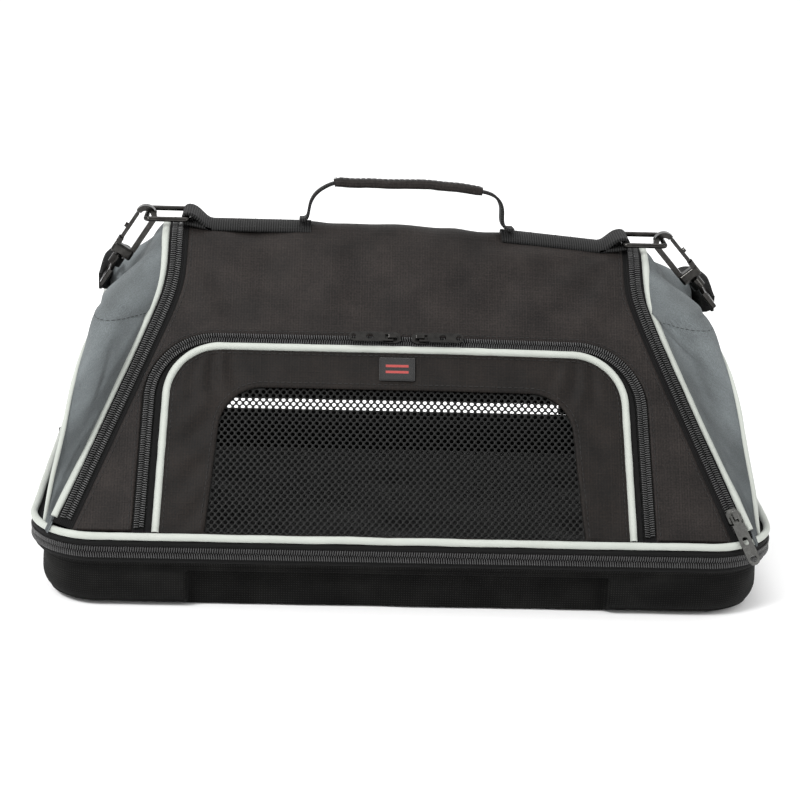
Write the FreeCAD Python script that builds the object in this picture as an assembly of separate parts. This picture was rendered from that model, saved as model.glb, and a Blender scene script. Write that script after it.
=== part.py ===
import FreeCAD
import Part
import math
import os

V = FreeCAD.Vector

# Soft pet carrier: a moulded tray, a zipped fabric cover with a front door, a
# carry handle and a shoulder strap.  Millimetres, +Z up, +X to the right seen
# from the front, the front faces -Y.  Origin: centre of the base on the floor.

# ---------------------------------------------------------------- dimensions
HALF_LENGTH = 226.25        # base piping centre line, along X
HALF_DEPTH = 136.25         # base piping centre line, along Y
RIM_R = 42.0                # base piping corner radius
PIPING_R = 2.25
PIPING_Z = 49.5

TRAY_INSET = 5.0            # tray wall inside the piping centre line
TRAY_WALL = 4.0
TRAY_TOP = 34.0
TRAY_FILLET = 15.0
FOOT_RECESS_LEFT = -131.0   # the step between the corner feet, seen from the front
FOOT_RECESS_RIGHT = 125.5
FOOT_RECESS_DEPTH = 9.0
FOOT_RECESS_TOP = 25.0

ZIP_GAP_Z = 39.95           # the tray zip parts here
ZIP_TAPE_T = 1.6
COIL_H = 1.5                # height of a zip coil above its tape
COIL_W = 5.0
TRAY_ZIP_END = 70.0         # the tray's zip stops here, before the back corners
BAND_TOP = 47.2
VENT_HALF = 118.0           # half length of the slot that airs the back, over the zip
VENT_LOW = 41.6
VENT_HIGH = 47.3
FLANGE_T = 1.6
SKIN_Z = 49.0               # the cover's cloth panels start here

RIDGE_Z = 210.3             # top of the cloth along the level part of the ridge
SAG_FROM_X = 30.0           # to the right of this the ridge falls
SAG_RATE = 0.09             # height lost for each millimetre to the right
RIDGE_R = 27.0
CLOTH = 2.0
FOOT_Y = 132.0              # outer face of the front panel at its foot
EDGE_TOP_X = 151.5          # side edge of the front panel at the ridge
EDGE_FLARE = 63.1           # how much further out the edge is at the foot
EDGE_RATE = 0.392           # how fast the flare is lost along the slope
EDGE_SOFT = 3.0
SIDE_ZIP_W = 14.0
SIDE_COIL_IN = 7.4

DOOR_X = -5.3               # the door sits a little left of the middle
DOOR_HALF_FOOT = 144.5      # door outline on the piping's centre line
DOOR_HALF_TOP = 140.5
DOOR_TOP = 121.0
DOOR_FLAP_SIDE = 7.6        # zip flap outside the piping's centre line
DOOR_FLAP_TOP = 3.05
DOOR_COIL_W = 2.5
DOOR_TAPE_W = 4.4
DOOR_R = 33.0
DOOR_FOOT = 6.0             # lower edge of the door, just above its hinge seam
WINDOW_HALF_FOOT = 114.5
WINDOW_HALF_TOP = 106.5
WINDOW_TOP = 95.0
WINDOW_R = 27.0
WINDOW_FOOT = 9.0
MESH_T = 1.2

BACK_WINDOW_HALF = 118.0
BACK_WINDOW_FOOT = 34.0
BACK_WINDOW_TOP = 128.0

# side arch: height, reach in X, half depth in Y, from the foot to the crest
ARCH = [(49.0, 217.5, 117.0), (78.0, 212.6, 115.5), (104.0, 206.6, 110.0),
        (125.0, 203.0, 98.0), (140.0, 199.5, 80.0), (150.0, 195.0, 50.0),
        (156.0, 188.7, 0.0)]

STRAP_W = 25.0
STRAP_T = 1.8
RING_BAR_X = 138.0
RING_OUT_X = 164.0
RING_UP = 4.4               # centre of the ring's wire above the ridge
RING_WIRE_R = 1.6
HANDLE_FOOT_X = 64.0
HANDLE_GRIP_HALF = 47.0
HANDLE_RISE = 29.0
HANDLE_LEAN = 9.0           # degrees, backwards

HOOK_TILT = {"right": 41.0, "left": 33.0}   # degrees outwards from hanging straight down

CORD_R = 2.5                # the shoulder strap's plain stand-in tube
# the strap's route from the right eye, behind the bag along the floor, to the left eye
STRAP_RIGHT = [(200.1, 4, 162.7), (199.3, 22, 162.4), (194, 44, 163.5), (188.5, 67, 158),
               (184.5, 88, 145), (184, 104, 120), (189, 118, 94), (188, 131, 68), (183, 144.5, 47), (176, 152, 27),
               (162, 157, 10), (142, 160, 3.4), (108, 162, 2.6), (64, 160, 2.6), (20, 162.5, 2.6)]
STRAP_LEFT = [(-27, 161, 2.6), (-73, 163, 2.6), (-111, 160, 2.6), (-143, 162, 3.2), (-163, 158, 9),
              (-177, 152, 26), (-184, 145, 46), (-189, 132, 67), (-189, 118, 94), (-183, 105, 122),
              (-180, 88, 147), (-182, 69, 163), (-188, 44, 170), (-193.6, 22, 168.7), (-194.1, 4, 168.4)]
ADJUSTER_X = -50.0

FIT = 0.35                  # gap between pieces that move on each other

os.makedirs("parts", exist_ok=True)
solids = {}


def keep(name, shape):
    """File one node: the solids of the shape, written to its own STEP."""
    found = shape.Solids
    if not found or not shape.isValid():
        raise ValueError(f"{name}: no valid solid")
    solids[name] = found[0] if len(found) == 1 else Part.makeCompound(found)
    solids[name].exportStep(f"parts/{name}.step")
    return solids[name]


def mirrored(shape):
    return shape.mirror(V(0, 0, 0), V(1, 0, 0))


def box(x0, x1, y0, y1, z0, z1):
    return Part.makeBox(x1 - x0, y1 - y0, z1 - z0, V(x0, y0, z0))


# ------------------------------------------------------------- plan outlines
def rounded_plate(half_x, half_y, radius, z0, z1):
    """A rounded rectangle centred on the origin, from z0 to z1."""
    plate = box(-half_x, half_x, -half_y, half_y, z0, z1)
    upright = [e for e in plate.Edges if abs(e.Vertexes[0].Z - e.Vertexes[-1].Z) > 0.5 * (z1 - z0)]
    return plate.makeFillet(radius, upright)


def rim_plate(grow, z0, z1):
    """The base outline, grown or shrunk from the piping's centre line."""
    return rounded_plate(HALF_LENGTH + grow, HALF_DEPTH + grow, RIM_R + grow, z0, z1)


def rim_ring(inner, outer, z0, z1):
    return rim_plate(outer, z0, z1).cut(rim_plate(inner, z0 - 1, z1 + 1))


# ------------------------------------------------------- main cover's profile
def ridge_at(x):
    """Height of the ridge, which falls towards its right end."""
    return RIDGE_Z - SAG_RATE * max(0.0, x - SAG_FROM_X)


class Profile:
    """The front half of the cover's section at one x: a slope, then an arc to the crest."""

    def __init__(self, x=0.0):
        self.centre_z = ridge_at(x) - RIDGE_R
        rise = self.centre_z - SKIN_Z
        self.angle = math.atan2(rise, FOOT_Y) + math.asin(RIDGE_R / math.hypot(FOOT_Y, rise))
        self.up = V(0, math.cos(self.angle), math.sin(self.angle))
        self.out = V(0, -math.sin(self.angle), math.cos(self.angle))
        self.foot = V(0, -FOOT_Y, SKIN_Z)
        self.tangent_z = self.centre_z + RIDGE_R * math.cos(self.angle)
        self.slope_length = (self.tangent_z - SKIN_Z) / math.sin(self.angle)
        self.crest_s = self.slope_length + RIDGE_R * self.angle

    def point(self, s, out=0.0):
        """The point at distance s up from the foot, in the plane x = 0."""
        if s <= self.slope_length:
            return self.foot + self.up * s + self.out * out
        angle = self.angle - (s - self.slope_length) / RIDGE_R
        radius = RIDGE_R + out
        return V(0, -radius * math.sin(angle), self.centre_z + radius * math.cos(angle))

    def distance(self, z):
        """Distance up the slope and arc at which the cloth reaches height z."""
        if z <= self.tangent_z:
            return (z - SKIN_Z) / math.sin(self.angle)
        angle = math.acos(min(1.0, (z - self.centre_z) / RIDGE_R))
        return self.slope_length + RIDGE_R * (self.angle - angle)


MIDDLE = Profile()


def edge_x(s):
    """Half width of the main panel, out to its piping, at distance s."""
    flare = (EDGE_FLARE - EDGE_RATE * s) / EDGE_SOFT
    return EDGE_TOP_X + EDGE_SOFT * math.log(1.0 + math.exp(flare))


def section_wire(x, out_low, out_high):
    """The roof-shaped section of the cover at one x, between two offsets."""
    profile = Profile(x)
    rims = []
    for out in (out_low, out_high):
        front = [profile.point(s, out) for s in (0.0, profile.slope_length, profile.crest_s)]
        back = [V(0, -p.y, p.z) for p in reversed(front[:2])]
        rims.append([p + V(x, 0, 0) for p in front + back])
    low, high = rims
    edges = [Part.LineSegment(high[0], high[1]), Part.Arc(high[1], high[2], high[3]),
             Part.LineSegment(high[3], high[4]), Part.LineSegment(high[4], low[4]),
             Part.LineSegment(low[4], low[3]), Part.Arc(low[3], low[2], low[1]),
             Part.LineSegment(low[1], low[0]), Part.LineSegment(low[0], high[0])]
    return Part.Wire([e.toShape() for e in edges])


def cover_shell(out_low, out_high):
    """The roof-shaped sheet between two offsets from the cloth's outer face."""
    sections = [section_wire(x, out_low, out_high) for x in (-HALF_LENGTH, SAG_FROM_X, HALF_LENGTH)]
    shell = Part.makeLoft(sections[:2], True, True).fuse(Part.makeLoft(sections[1:], True, True))
    standing = rim_plate(-PIPING_R - 0.1, SKIN_Z, RIDGE_Z + 40)
    return shell.common(standing)


def panel_prism(inset):
    """Everything between the two side edges of the main panel, less an inset."""
    bend = [110.0, 130.0, 142.0, 152.0, 162.0, 174.0, 190.0]
    right = [V(edge_x(s) - inset, 0, MIDDLE.point(s).z) for s in bend]
    foot = V(edge_x(-10.0) - inset, 0, MIDDLE.point(-10.0).z)
    top = V(right[-1].x, 0, RIDGE_Z + 40)
    spline = Part.BSplineCurve()
    spline.interpolate(right)
    mirror_points = [V(-p.x, 0, p.z) for p in reversed(right)]
    left_spline = Part.BSplineCurve()
    left_spline.interpolate(mirror_points)
    left_foot = V(-foot.x, 0, foot.z)
    left_top = V(-top.x, 0, top.z)
    edges = [Part.LineSegment(foot, right[0]), spline, Part.LineSegment(right[-1], top),
             Part.LineSegment(top, left_top), Part.LineSegment(left_top, mirror_points[0]),
             left_spline, Part.LineSegment(mirror_points[-1], left_foot),
             Part.LineSegment(left_foot, foot)]
    face = Part.Face(Part.Wire([e.toShape() for e in edges]))
    prism = face.extrude(V(0, 400, 0))
    prism.translate(V(0, -200, 0))
    return prism


FRONT_HALF = box(-300, 300, -200, 0, 0, 400)
BACK_HALF = box(-300, 300, 0, 200, 0, 400)
SIDE_HALF = {"right": box(0, 300, -200, 200, 0, 400), "left": box(-300, 0, -200, 200, 0, 400)}
SIGN = {"right": 1, "left": -1}


# ---------------------------------------------------- shapes on a slope plane
def slope_frame(back=False):
    """Local x is +X, local y climbs the slope, local z points outwards."""
    turn = -1 if back else 1
    up, out, foot = [V(0, turn * v.y, v.z) for v in (MIDDLE.up, MIDDLE.out, MIDDLE.foot)]
    foot.x = 0 if back else DOOR_X
    return FreeCAD.Placement(FreeCAD.Matrix(turn, up.x, out.x, foot.x, 0, up.y, out.y, foot.y,
                                            0, up.z, out.z, foot.z, 0, 0, 0, 1))


def arch_plate(half_foot, half_top, foot, top, radius, z0, z1, back=False, foot_radius=0.5):
    """A plate with rounded top corners, lying on the slope plane."""
    points = [V(-half_foot, foot, z0), V(half_foot, foot, z0), V(half_top, top, z0), V(-half_top, top, z0)]
    face = Part.Face(Part.makePolygon(points + points[:1]))
    plate = face.extrude(V(0, 0, z1 - z0))
    upright = [e for e in plate.Edges
               if abs(e.Vertexes[0].Z - e.Vertexes[-1].Z) > 0.5 * (z1 - z0)]
    high = [e for e in upright if e.Vertexes[0].Y > 0.5 * (foot + top)]
    plate = plate.makeFillet(radius, high)
    if foot_radius > 1.0:
        low = [e for e in plate.Edges
               if abs(e.Vertexes[0].Z - e.Vertexes[-1].Z) > 0.5 * (z1 - z0)
               and e.Vertexes[0].Y < foot + 1.0]
        plate = plate.makeFillet(foot_radius, low)
    plate.Placement = slope_frame(back)
    return plate


def door_plate(grow_side, grow_top, foot, z0, z1):
    """The door's outline on its piping line, grown sideways and upwards."""
    rate = (DOOR_HALF_TOP - DOOR_HALF_FOOT) / DOOR_TOP
    top = DOOR_TOP + grow_top
    return arch_plate(DOOR_HALF_FOOT + rate * foot + grow_side, DOOR_HALF_FOOT + rate * top + grow_side,
                      foot, top, DOOR_R + 0.5 * (grow_side + grow_top), z0, z1)


# --------------------------------------------------------------- ruled strips
def ruled_strip(sections):
    """A closed solid through quadrilateral sections, each four points."""
    wires = [Part.makePolygon(list(q) + [q[0]]) for q in sections]
    return Part.makeLoft(wires, True, True)


def faceted_strip(sections):
    """As ruled_strip, but of flat triangles, for a strip that twists."""
    faces = []
    for near, far in zip(sections, sections[1:]):
        for i in range(4):
            a, b, c, d = near[i], near[(i + 1) % 4], far[(i + 1) % 4], far[i]
            if i == 2:
                # the inner side is split along the same diagonal as the outer side
                a, b, c, d = b, c, d, a
            faces.append(Part.Face(Part.makePolygon([a, b, c, a])))
            faces.append(Part.Face(Part.makePolygon([a, c, d, a])))
    for end in (sections[0], sections[-1]):
        a, b, c, d = end
        faces.append(Part.Face(Part.makePolygon([a, b, c, a])))
        faces.append(Part.Face(Part.makePolygon([a, c, d, a])))
    shell = Part.makeShell(faces)
    shell.sewShape()
    solid = Part.makeSolid(shell)
    if solid.Volume < 0:
        solid.reverse()
    return solid


def unit(v):
    return v / v.Length


def cord_strip(points, half):
    """A square-section cord through points, for piping that is sewn in."""
    sections = []
    for i, p in enumerate(points):
        ahead = points[min(i + 1, len(points) - 1)]
        behind = points[max(i - 1, 0)]
        along = unit(ahead - behind)
        side = unit(along.cross(V(1, 0, 0.2)))
        other = unit(along.cross(side))
        a, b = side * half, other * half
        sections.append((p + a + b, p - a + b, p - a - b, p + a - b))
    return ruled_strip(sections)


# -------------------------------------------------------------------- the tray
def make_tray():
    outer = rim_plate(-TRAY_INSET, 0, TRAY_TOP)
    bottom = [e for e in outer.Edges if max(v.Z for v in e.Vertexes) < 0.1]
    outer = outer.makeFillet(TRAY_FILLET, bottom)
    lip = rim_plate(-1.6, TRAY_TOP - 3, TRAY_TOP)
    outer = outer.fuse(lip)
    inner = rim_plate(-TRAY_INSET - TRAY_WALL, TRAY_WALL, TRAY_TOP + 1)
    edge_y = HALF_DEPTH - TRAY_INSET
    for side in (-1, 1):
        y0, y1 = sorted((side * (edge_y - FOOT_RECESS_DEPTH), side * (edge_y + 20)))
        step = box(FOOT_RECESS_LEFT, FOOT_RECESS_RIGHT, y0, y1, -1, FOOT_RECESS_TOP)
        outer = outer.cut(step)
        z0, z1 = sorted((side * (edge_y - FOOT_RECESS_DEPTH - TRAY_WALL), side * (edge_y + 20)))
        inner = inner.cut(box(FOOT_RECESS_LEFT - TRAY_WALL, FOOT_RECESS_RIGHT + TRAY_WALL,
                              z0, z1, 0, FOOT_RECESS_TOP + TRAY_WALL))
    keep("tray_shell", outer.cut(inner).removeSplitter())

    board_in = TRAY_INSET + TRAY_WALL + FOOT_RECESS_DEPTH + 3
    keep("base_board", rim_plate(-board_in, TRAY_WALL + 0.1, TRAY_WALL + 3.1))
    mat = rim_plate(-board_in - 1, TRAY_WALL + 3.2, TRAY_WALL + 19.2)
    rims = [e for e in mat.Edges if abs(e.Vertexes[0].Z - e.Vertexes[-1].Z) < 0.1]
    keep("base_cushion", mat.makeFillet(6.0, rims))

    tape = rim_ring(-1.6, 0.0, TRAY_TOP, ZIP_GAP_Z - 0.15)
    keep("tray_zip_tape", tape)
    coil = rim_ring(0.0, COIL_H, ZIP_GAP_Z - 1.7, ZIP_GAP_Z - 0.15)
    open_sides = box(-300, 300, -200, TRAY_ZIP_END, 0, 100)
    keep("tray_zip_coil", coil.common(open_sides))

    band = rim_ring(-1.6, 0.0, ZIP_GAP_Z + 0.15, BAND_TOP)
    flange = rim_ring(-10.0, -1.6, BAND_TOP - FLANGE_T, BAND_TOP)
    gap = box(-VENT_HALF, VENT_HALF, HALF_DEPTH - 12, HALF_DEPTH + 5, VENT_LOW, VENT_HIGH)
    keep("cover_base_band", band.fuse(flange).cut(gap))
    coil = rim_ring(0.0, COIL_H, ZIP_GAP_Z + 0.15, ZIP_GAP_Z + 1.7)
    keep("cover_zip_coil", coil.common(open_sides))

    cord = rim_ring(-PIPING_R, PIPING_R, PIPING_Z - PIPING_R, PIPING_Z + PIPING_R)
    rims = [e for e in cord.Edges if abs(e.Vertexes[0].Z - e.Vertexes[-1].Z) < 0.1]
    keep("base_piping", cord.makeFillet(PIPING_R * 0.9, rims))


# ------------------------------------------------------------------- the cover
def make_cover():
    skin = cover_shell(-CLOTH, 0)
    middle = panel_prism(SIDE_ZIP_W)
    tape_side, tape_top = DOOR_FLAP_SIDE + DOOR_TAPE_W, DOOR_FLAP_TOP + DOOR_TAPE_W
    opening = door_plate(tape_side, tape_top, DOOR_FOOT - 0.8, -10, 10)
    keep("front_panel", skin.common(middle).common(FRONT_HALF).cut(opening))

    window = arch_plate(BACK_WINDOW_HALF, BACK_WINDOW_HALF - 14, BACK_WINDOW_FOOT, BACK_WINDOW_TOP,
                        24, -10, 10, back=True, foot_radius=24)
    keep("back_panel", skin.common(middle).common(BACK_HALF).cut(window))
    pane = arch_plate(BACK_WINDOW_HALF, BACK_WINDOW_HALF - 14, BACK_WINDOW_FOOT, BACK_WINDOW_TOP,
                      24, -CLOTH + 0.2, -CLOTH + 0.2 + MESH_T, back=True, foot_radius=24)
    keep("back_mesh", pane)

    zip_area = panel_prism(PIPING_R).cut(middle)
    coil_area = panel_prism(SIDE_COIL_IN - COIL_W / 2).cut(panel_prism(SIDE_COIL_IN + COIL_W / 2))
    above_foot = box(-300, 300, -200, 200, SKIN_Z + 7, 400)
    proud = cover_shell(0, COIL_H)
    cord_area = panel_prism(-PIPING_R).cut(panel_prism(PIPING_R))
    cord_skin = cover_shell(-3.2, 1.2)
    for name, whole in (("side_zip_tape", skin.common(zip_area)),
                        ("side_zip_coil", proud.common(coil_area).common(above_foot)),
                        ("edge_piping", cord_skin.common(cord_area))):
        for side, half in SIDE_HALF.items():
            keep(f"{name}_{side}", whole.common(half))

    outer = door_plate(tape_side, tape_top, DOOR_FOOT - 0.8, -CLOTH, 0)
    inner = door_plate(DOOR_FLAP_SIDE, DOOR_FLAP_TOP, 0, -CLOTH - 1, 1)
    above = box(-300, 300, -200, 0, SKIN_Z + 3.5, 400)
    keep("door_zip_tape", outer.cut(inner))
    outer = door_plate(DOOR_FLAP_SIDE + DOOR_COIL_W, DOOR_FLAP_TOP + DOOR_COIL_W, DOOR_FOOT, 0, COIL_H)
    inner = door_plate(DOOR_FLAP_SIDE, DOOR_FLAP_TOP, 0, -1, COIL_H + 1)
    keep("door_zip_coil", outer.cut(inner).common(above))

    under = cover_shell(-CLOTH - 5.2, -CLOTH - 2.7)
    keep("ridge_batten", under.common(box(-146, 146, -8, 8, 150, 250)))


def arch_curve():
    """The side arch as a smooth curve, front foot over the crest to the back foot."""
    front = [V(x, -y, z) for z, x, y in ARCH]
    back = [V(x, y, z) for z, x, y in reversed(ARCH[:-1])]
    curve = Part.BSplineCurve()
    curve.interpolate(front + back)
    return curve


def make_sides():
    curve = arch_curve()
    first, last = curve.FirstParameter, curve.LastParameter
    steps = 44
    arch = [curve.value(first + (last - first) * i / steps) for i in range(steps + 1)]

    # the end panel bends only about Y, so it is a bent strip cut to the arch
    spine = Part.BSplineCurve()
    spine.interpolate([V(x, 0, z) for z, x, y in ARCH])
    inner_spine = Part.BSplineCurve()
    inner_spine.interpolate([V(x - CLOTH, 0, z) for z, x, y in ARCH])
    a, b = spine.StartPoint, spine.EndPoint
    c, d = inner_spine.StartPoint, inner_spine.EndPoint
    rim = [spine, Part.LineSegment(b, d), inner_spine, Part.LineSegment(c, a)]
    face = Part.Face(Part.Wire(Part.sortEdges([e.toShape() for e in rim])[0]))
    bent = face.extrude(V(0, 280, 0))
    bent.translate(V(0, -140, 0))
    shrink = PIPING_R + 0.2
    outline = [V(0, y * (1 - shrink / 117.0), z - shrink * (z - 49.0) / 107.0) for y, z in
               ((p.y, p.z) for p in arch)]
    rim_curve = Part.BSplineCurve()
    rim_curve.interpolate(outline)
    base = Part.LineSegment(outline[-1], outline[0])
    arch_face = Part.Face(Part.Wire([rim_curve.toShape(), base.toShape()]))
    prism = arch_face.extrude(V(300, 0, 0))
    panel = bent.common(prism)
    win = box(150, 260, -72, 72, 66, 132)
    win = win.makeFillet(22, [e for e in win.Edges if abs(e.Vertexes[0].X - e.Vertexes[-1].X) > 50])

    cord = cord_strip(arch, PIPING_R * 0.8)
    standing = rim_plate(-PIPING_R - 0.1, SKIN_Z, RIDGE_Z + 40)
    for side, sign in SIGN.items():
        def place(shape):
            return shape if sign > 0 else mirrored(shape)
        keep(f"end_panel_{side}", place(panel.cut(win)))
        keep(f"end_mesh_{side}", place(bent.common(win)))
        keep(f"gusset_{side}", gusset_between(arch, sign).common(standing))
        keep(f"arch_piping_{side}", place(cord.common(standing)))


def gusset_between(arch, sign):
    """The cloth from the main panel's edge to the side arch."""
    arch_foot, arch_crest = ARCH[0][0], ARCH[-1][0]
    piping_gap = PIPING_R + 1.0
    seam, arc = [], []
    for p in arch:
        share = (p.z - arch_foot) / (arch_crest - arch_foot)
        profile = Profile(sign * EDGE_TOP_X)
        for _ in range(3):
            s = profile.distance(SKIN_Z + share * (profile.centre_z + RIDGE_R - SKIN_Z))
            profile = Profile(sign * edge_x(s))
        q = profile.point(s)
        seam.append(V(sign * edge_x(s), -q.y if p.y > 0 else q.y, q.z))
        arc.append(V(sign * p.x, p.y, p.z))
    # the cloth stops short of both pipings by the same gap, measured square to each
    edge, rim = [], []
    for i, (near, far) in enumerate(zip(seam, arc)):
        across = unit(far - near)
        for line, at, way, out in ((seam, near, 1, edge), (arc, far, -1, rim)):
            along = unit(line[min(i + 1, len(line) - 1)] - line[max(i - 1, 0)])
            out.append(at + across * (way * piping_gap / across.cross(along).Length))
    # the arch runs from the back to the front, so this normal always points inward
    sections = []
    for i, (near, far) in enumerate(zip(edge, rim)):
        inner = []
        for line, at in ((rim, far), (edge, near)):
            along = line[min(i + 1, len(line) - 1)] - line[max(i - 1, 0)]
            inner.append(at + unit((far - near).cross(along)) * CLOTH * sign)
        sections.append([near, far] + inner)
    return faceted_strip(sections)


# -------------------------------------------------------------------- the door
def make_door():
    frame_in = -PIPING_R
    panel = door_plate(frame_in, frame_in, DOOR_FOOT, -CLOTH, 0)
    window = arch_plate(WINDOW_HALF_FOOT, WINDOW_HALF_TOP, WINDOW_FOOT, WINDOW_TOP, WINDOW_R, -10, 10)
    keep("door_panel", panel.cut(window))
    pane = arch_plate(WINDOW_HALF_FOOT, WINDOW_HALF_TOP, WINDOW_FOOT, WINDOW_TOP, WINDOW_R,
                      -CLOTH + 0.4, -CLOTH + 0.4 + MESH_T)
    keep("door_mesh", pane)
    outer = door_plate(PIPING_R, PIPING_R, DOOR_FOOT, -3.2, 1.2)
    inner = door_plate(frame_in, frame_in, 0, -5, 5)
    keep("door_piping", outer.cut(inner))
    outer = door_plate(DOOR_FLAP_SIDE - FIT, DOOR_FLAP_TOP - FIT, DOOR_FOOT, -CLOTH, 0)
    inner = door_plate(PIPING_R, PIPING_R, 0, -5, 5)
    keep("door_zip_flap", outer.cut(inner))
    patch = box(-11, 11, 100.5, 115.5, 0.1, 1.2)
    patch.Placement = slope_frame()
    keep("label_patch", patch)


# --------------------------------------------------- ridge straps and handle
def make_ridge():
    strap_skin = cover_shell(0, STRAP_T)
    half = STRAP_W / 2
    for side, sign in SIGN.items():
        x0, x1 = sorted((sign * (HANDLE_FOOT_X - 6), sign * RING_BAR_X))
        flat = strap_skin.common(box(x0, x1, -half, half, 150, 250))
        # the webbing's end is turned round the ring's bar and sewn down
        z = ring_height(side)
        x = sign * RING_BAR_X
        bar = Part.makeCylinder(RING_WIRE_R + 2.2, STRAP_W - 1, V(x, -half + 0.5, z), V(0, 1, 0))
        bore = Part.makeCylinder(RING_WIRE_R + 0.3, STRAP_W + 2, V(x, -half - 1, z), V(0, 1, 0))
        x0, x1 = sorted((sign * (RING_BAR_X - 16), sign * RING_BAR_X))
        upper = box(x0, x1, -half + 0.5, half - 0.5, z - 3.8, z + 1.6)
        loop = bar.fuse(upper).cut(bore).cut(cover_shell(-CLOTH, 0.0))
        keep(f"ridge_strap_{side}", flat.fuse(loop).removeSplitter())

        keep(f"ring_{side}", make_ring(side))


def ring_height(side):
    return ridge_at(SIGN[side] * RING_BAR_X) + RING_UP


def make_ring(side):
    """A rectangular wire ring, flat, with its inner bar in the strap's loop."""
    sign = SIGN[side]
    half = STRAP_W / 2 + RING_WIRE_R + 0.6
    x0, x1 = sign * RING_BAR_X, sign * RING_OUT_X
    r = 2.4
    s = sign * r
    k = r * (1 - math.sqrt(0.5))
    ks = sign * k
    z = ring_height(side)
    corners = [(V(x0, half - r, z), V(x0 + ks, half - k, z), V(x0 + s, half, z)),
               (V(x1 - s, half, z), V(x1 - ks, half - k, z), V(x1, half - r, z)),
               (V(x1, -half + r, z), V(x1 - ks, -half + k, z), V(x1 - s, -half, z)),
               (V(x0 + s, -half, z), V(x0 + ks, -half + k, z), V(x0, -half + r, z))]
    edges = []
    for i, (a, m, b) in enumerate(corners):
        edges.append(Part.Arc(a, m, b).toShape())
        edges.append(Part.LineSegment(b, corners[(i + 1) % 4][0]).toShape())
    path = Part.Wire(edges)
    start = edges[0].Vertexes[0].Point
    circle = Part.Wire([Part.makeCircle(RING_WIRE_R, start, V(0, 1, 0))])
    return path.makePipeShell([circle], True, True)


def make_handle():
    lean = math.radians(HANDLE_LEAN)
    up = V(0, math.sin(lean), math.cos(lean))
    wide = V(0, math.cos(lean), -math.sin(lean))
    fall = (ridge_at(-HANDLE_FOOT_X) - ridge_at(HANDLE_FOOT_X)) / (2 * HANDLE_FOOT_X)
    root = V(0, 0, ridge_at(-HANDLE_FOOT_X) - fall * HANDLE_FOOT_X + STRAP_T + 0.5)
    tilt = math.degrees(math.atan(fall))
    # half of the webbing's line: distance from the middle, height, half width
    inside = HANDLE_RISE - 0.2
    line = [(HANDLE_FOOT_X + 9, 0.9, 11.5), (HANDLE_FOOT_X + 2, 1.4, 11.5), (HANDLE_FOOT_X - 1, 4.5, 11.5),
            (HANDLE_FOOT_X - 3.5, 11.0, 11.0), (HANDLE_FOOT_X - 7.5, 18.5, 10.0),
            (HANDLE_GRIP_HALF + 5, 25.5, 7.5), (HANDLE_GRIP_HALF + 0.5, inside - 0.4, 6.0),
            (HANDLE_GRIP_HALF - 6, inside, 6.0)]
    points = [(-x, h, w) for x, h, w in line] + [(x, h, w) for x, h, w in reversed(line)]
    sections = []
    for i, (x, h, w) in enumerate(points):
        ahead = points[min(i + 1, len(points) - 1)]
        behind = points[max(i - 1, 0)]
        slope = math.atan2(ahead[1] - behind[1], ahead[0] - behind[0])
        normal = V(-math.sin(slope), 0, 0) + up * math.cos(slope)
        centre = root + V(x, 0, 0) + up * h
        a, b = wide * w, normal * (STRAP_T / 2)
        sections.append((centre + a + b, centre - a + b, centre - a - b, centre + a - b))
    webbing = ruled_strip(sections)
    webbing.rotate(root, V(0, 1, 0), tilt)
    keep("handle_webbing", webbing)

    half = HANDLE_GRIP_HALF
    sleeve = box(-half, half, -7.2, 7.2, -2.9, 2.9)
    sleeve = sleeve.makeFillet(2.4, [e for e in sleeve.Edges if abs(e.Vertexes[0].X - e.Vertexes[-1].X) > half])
    slot = box(-half - 1, half + 1, -6.4, 6.4, -1.6, 1.6)
    sleeve = sleeve.cut(slot)
    centre = root + up * inside
    m = FreeCAD.Matrix(1, 0, 0, centre.x, 0, wide.y, up.y, centre.y, 0, wide.z, up.z, centre.z, 0, 0, 0, 1)
    sleeve.Placement = FreeCAD.Placement(m)
    sleeve.rotate(root, V(0, 1, 0), tilt)
    keep("handle_grip", sleeve)


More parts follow.
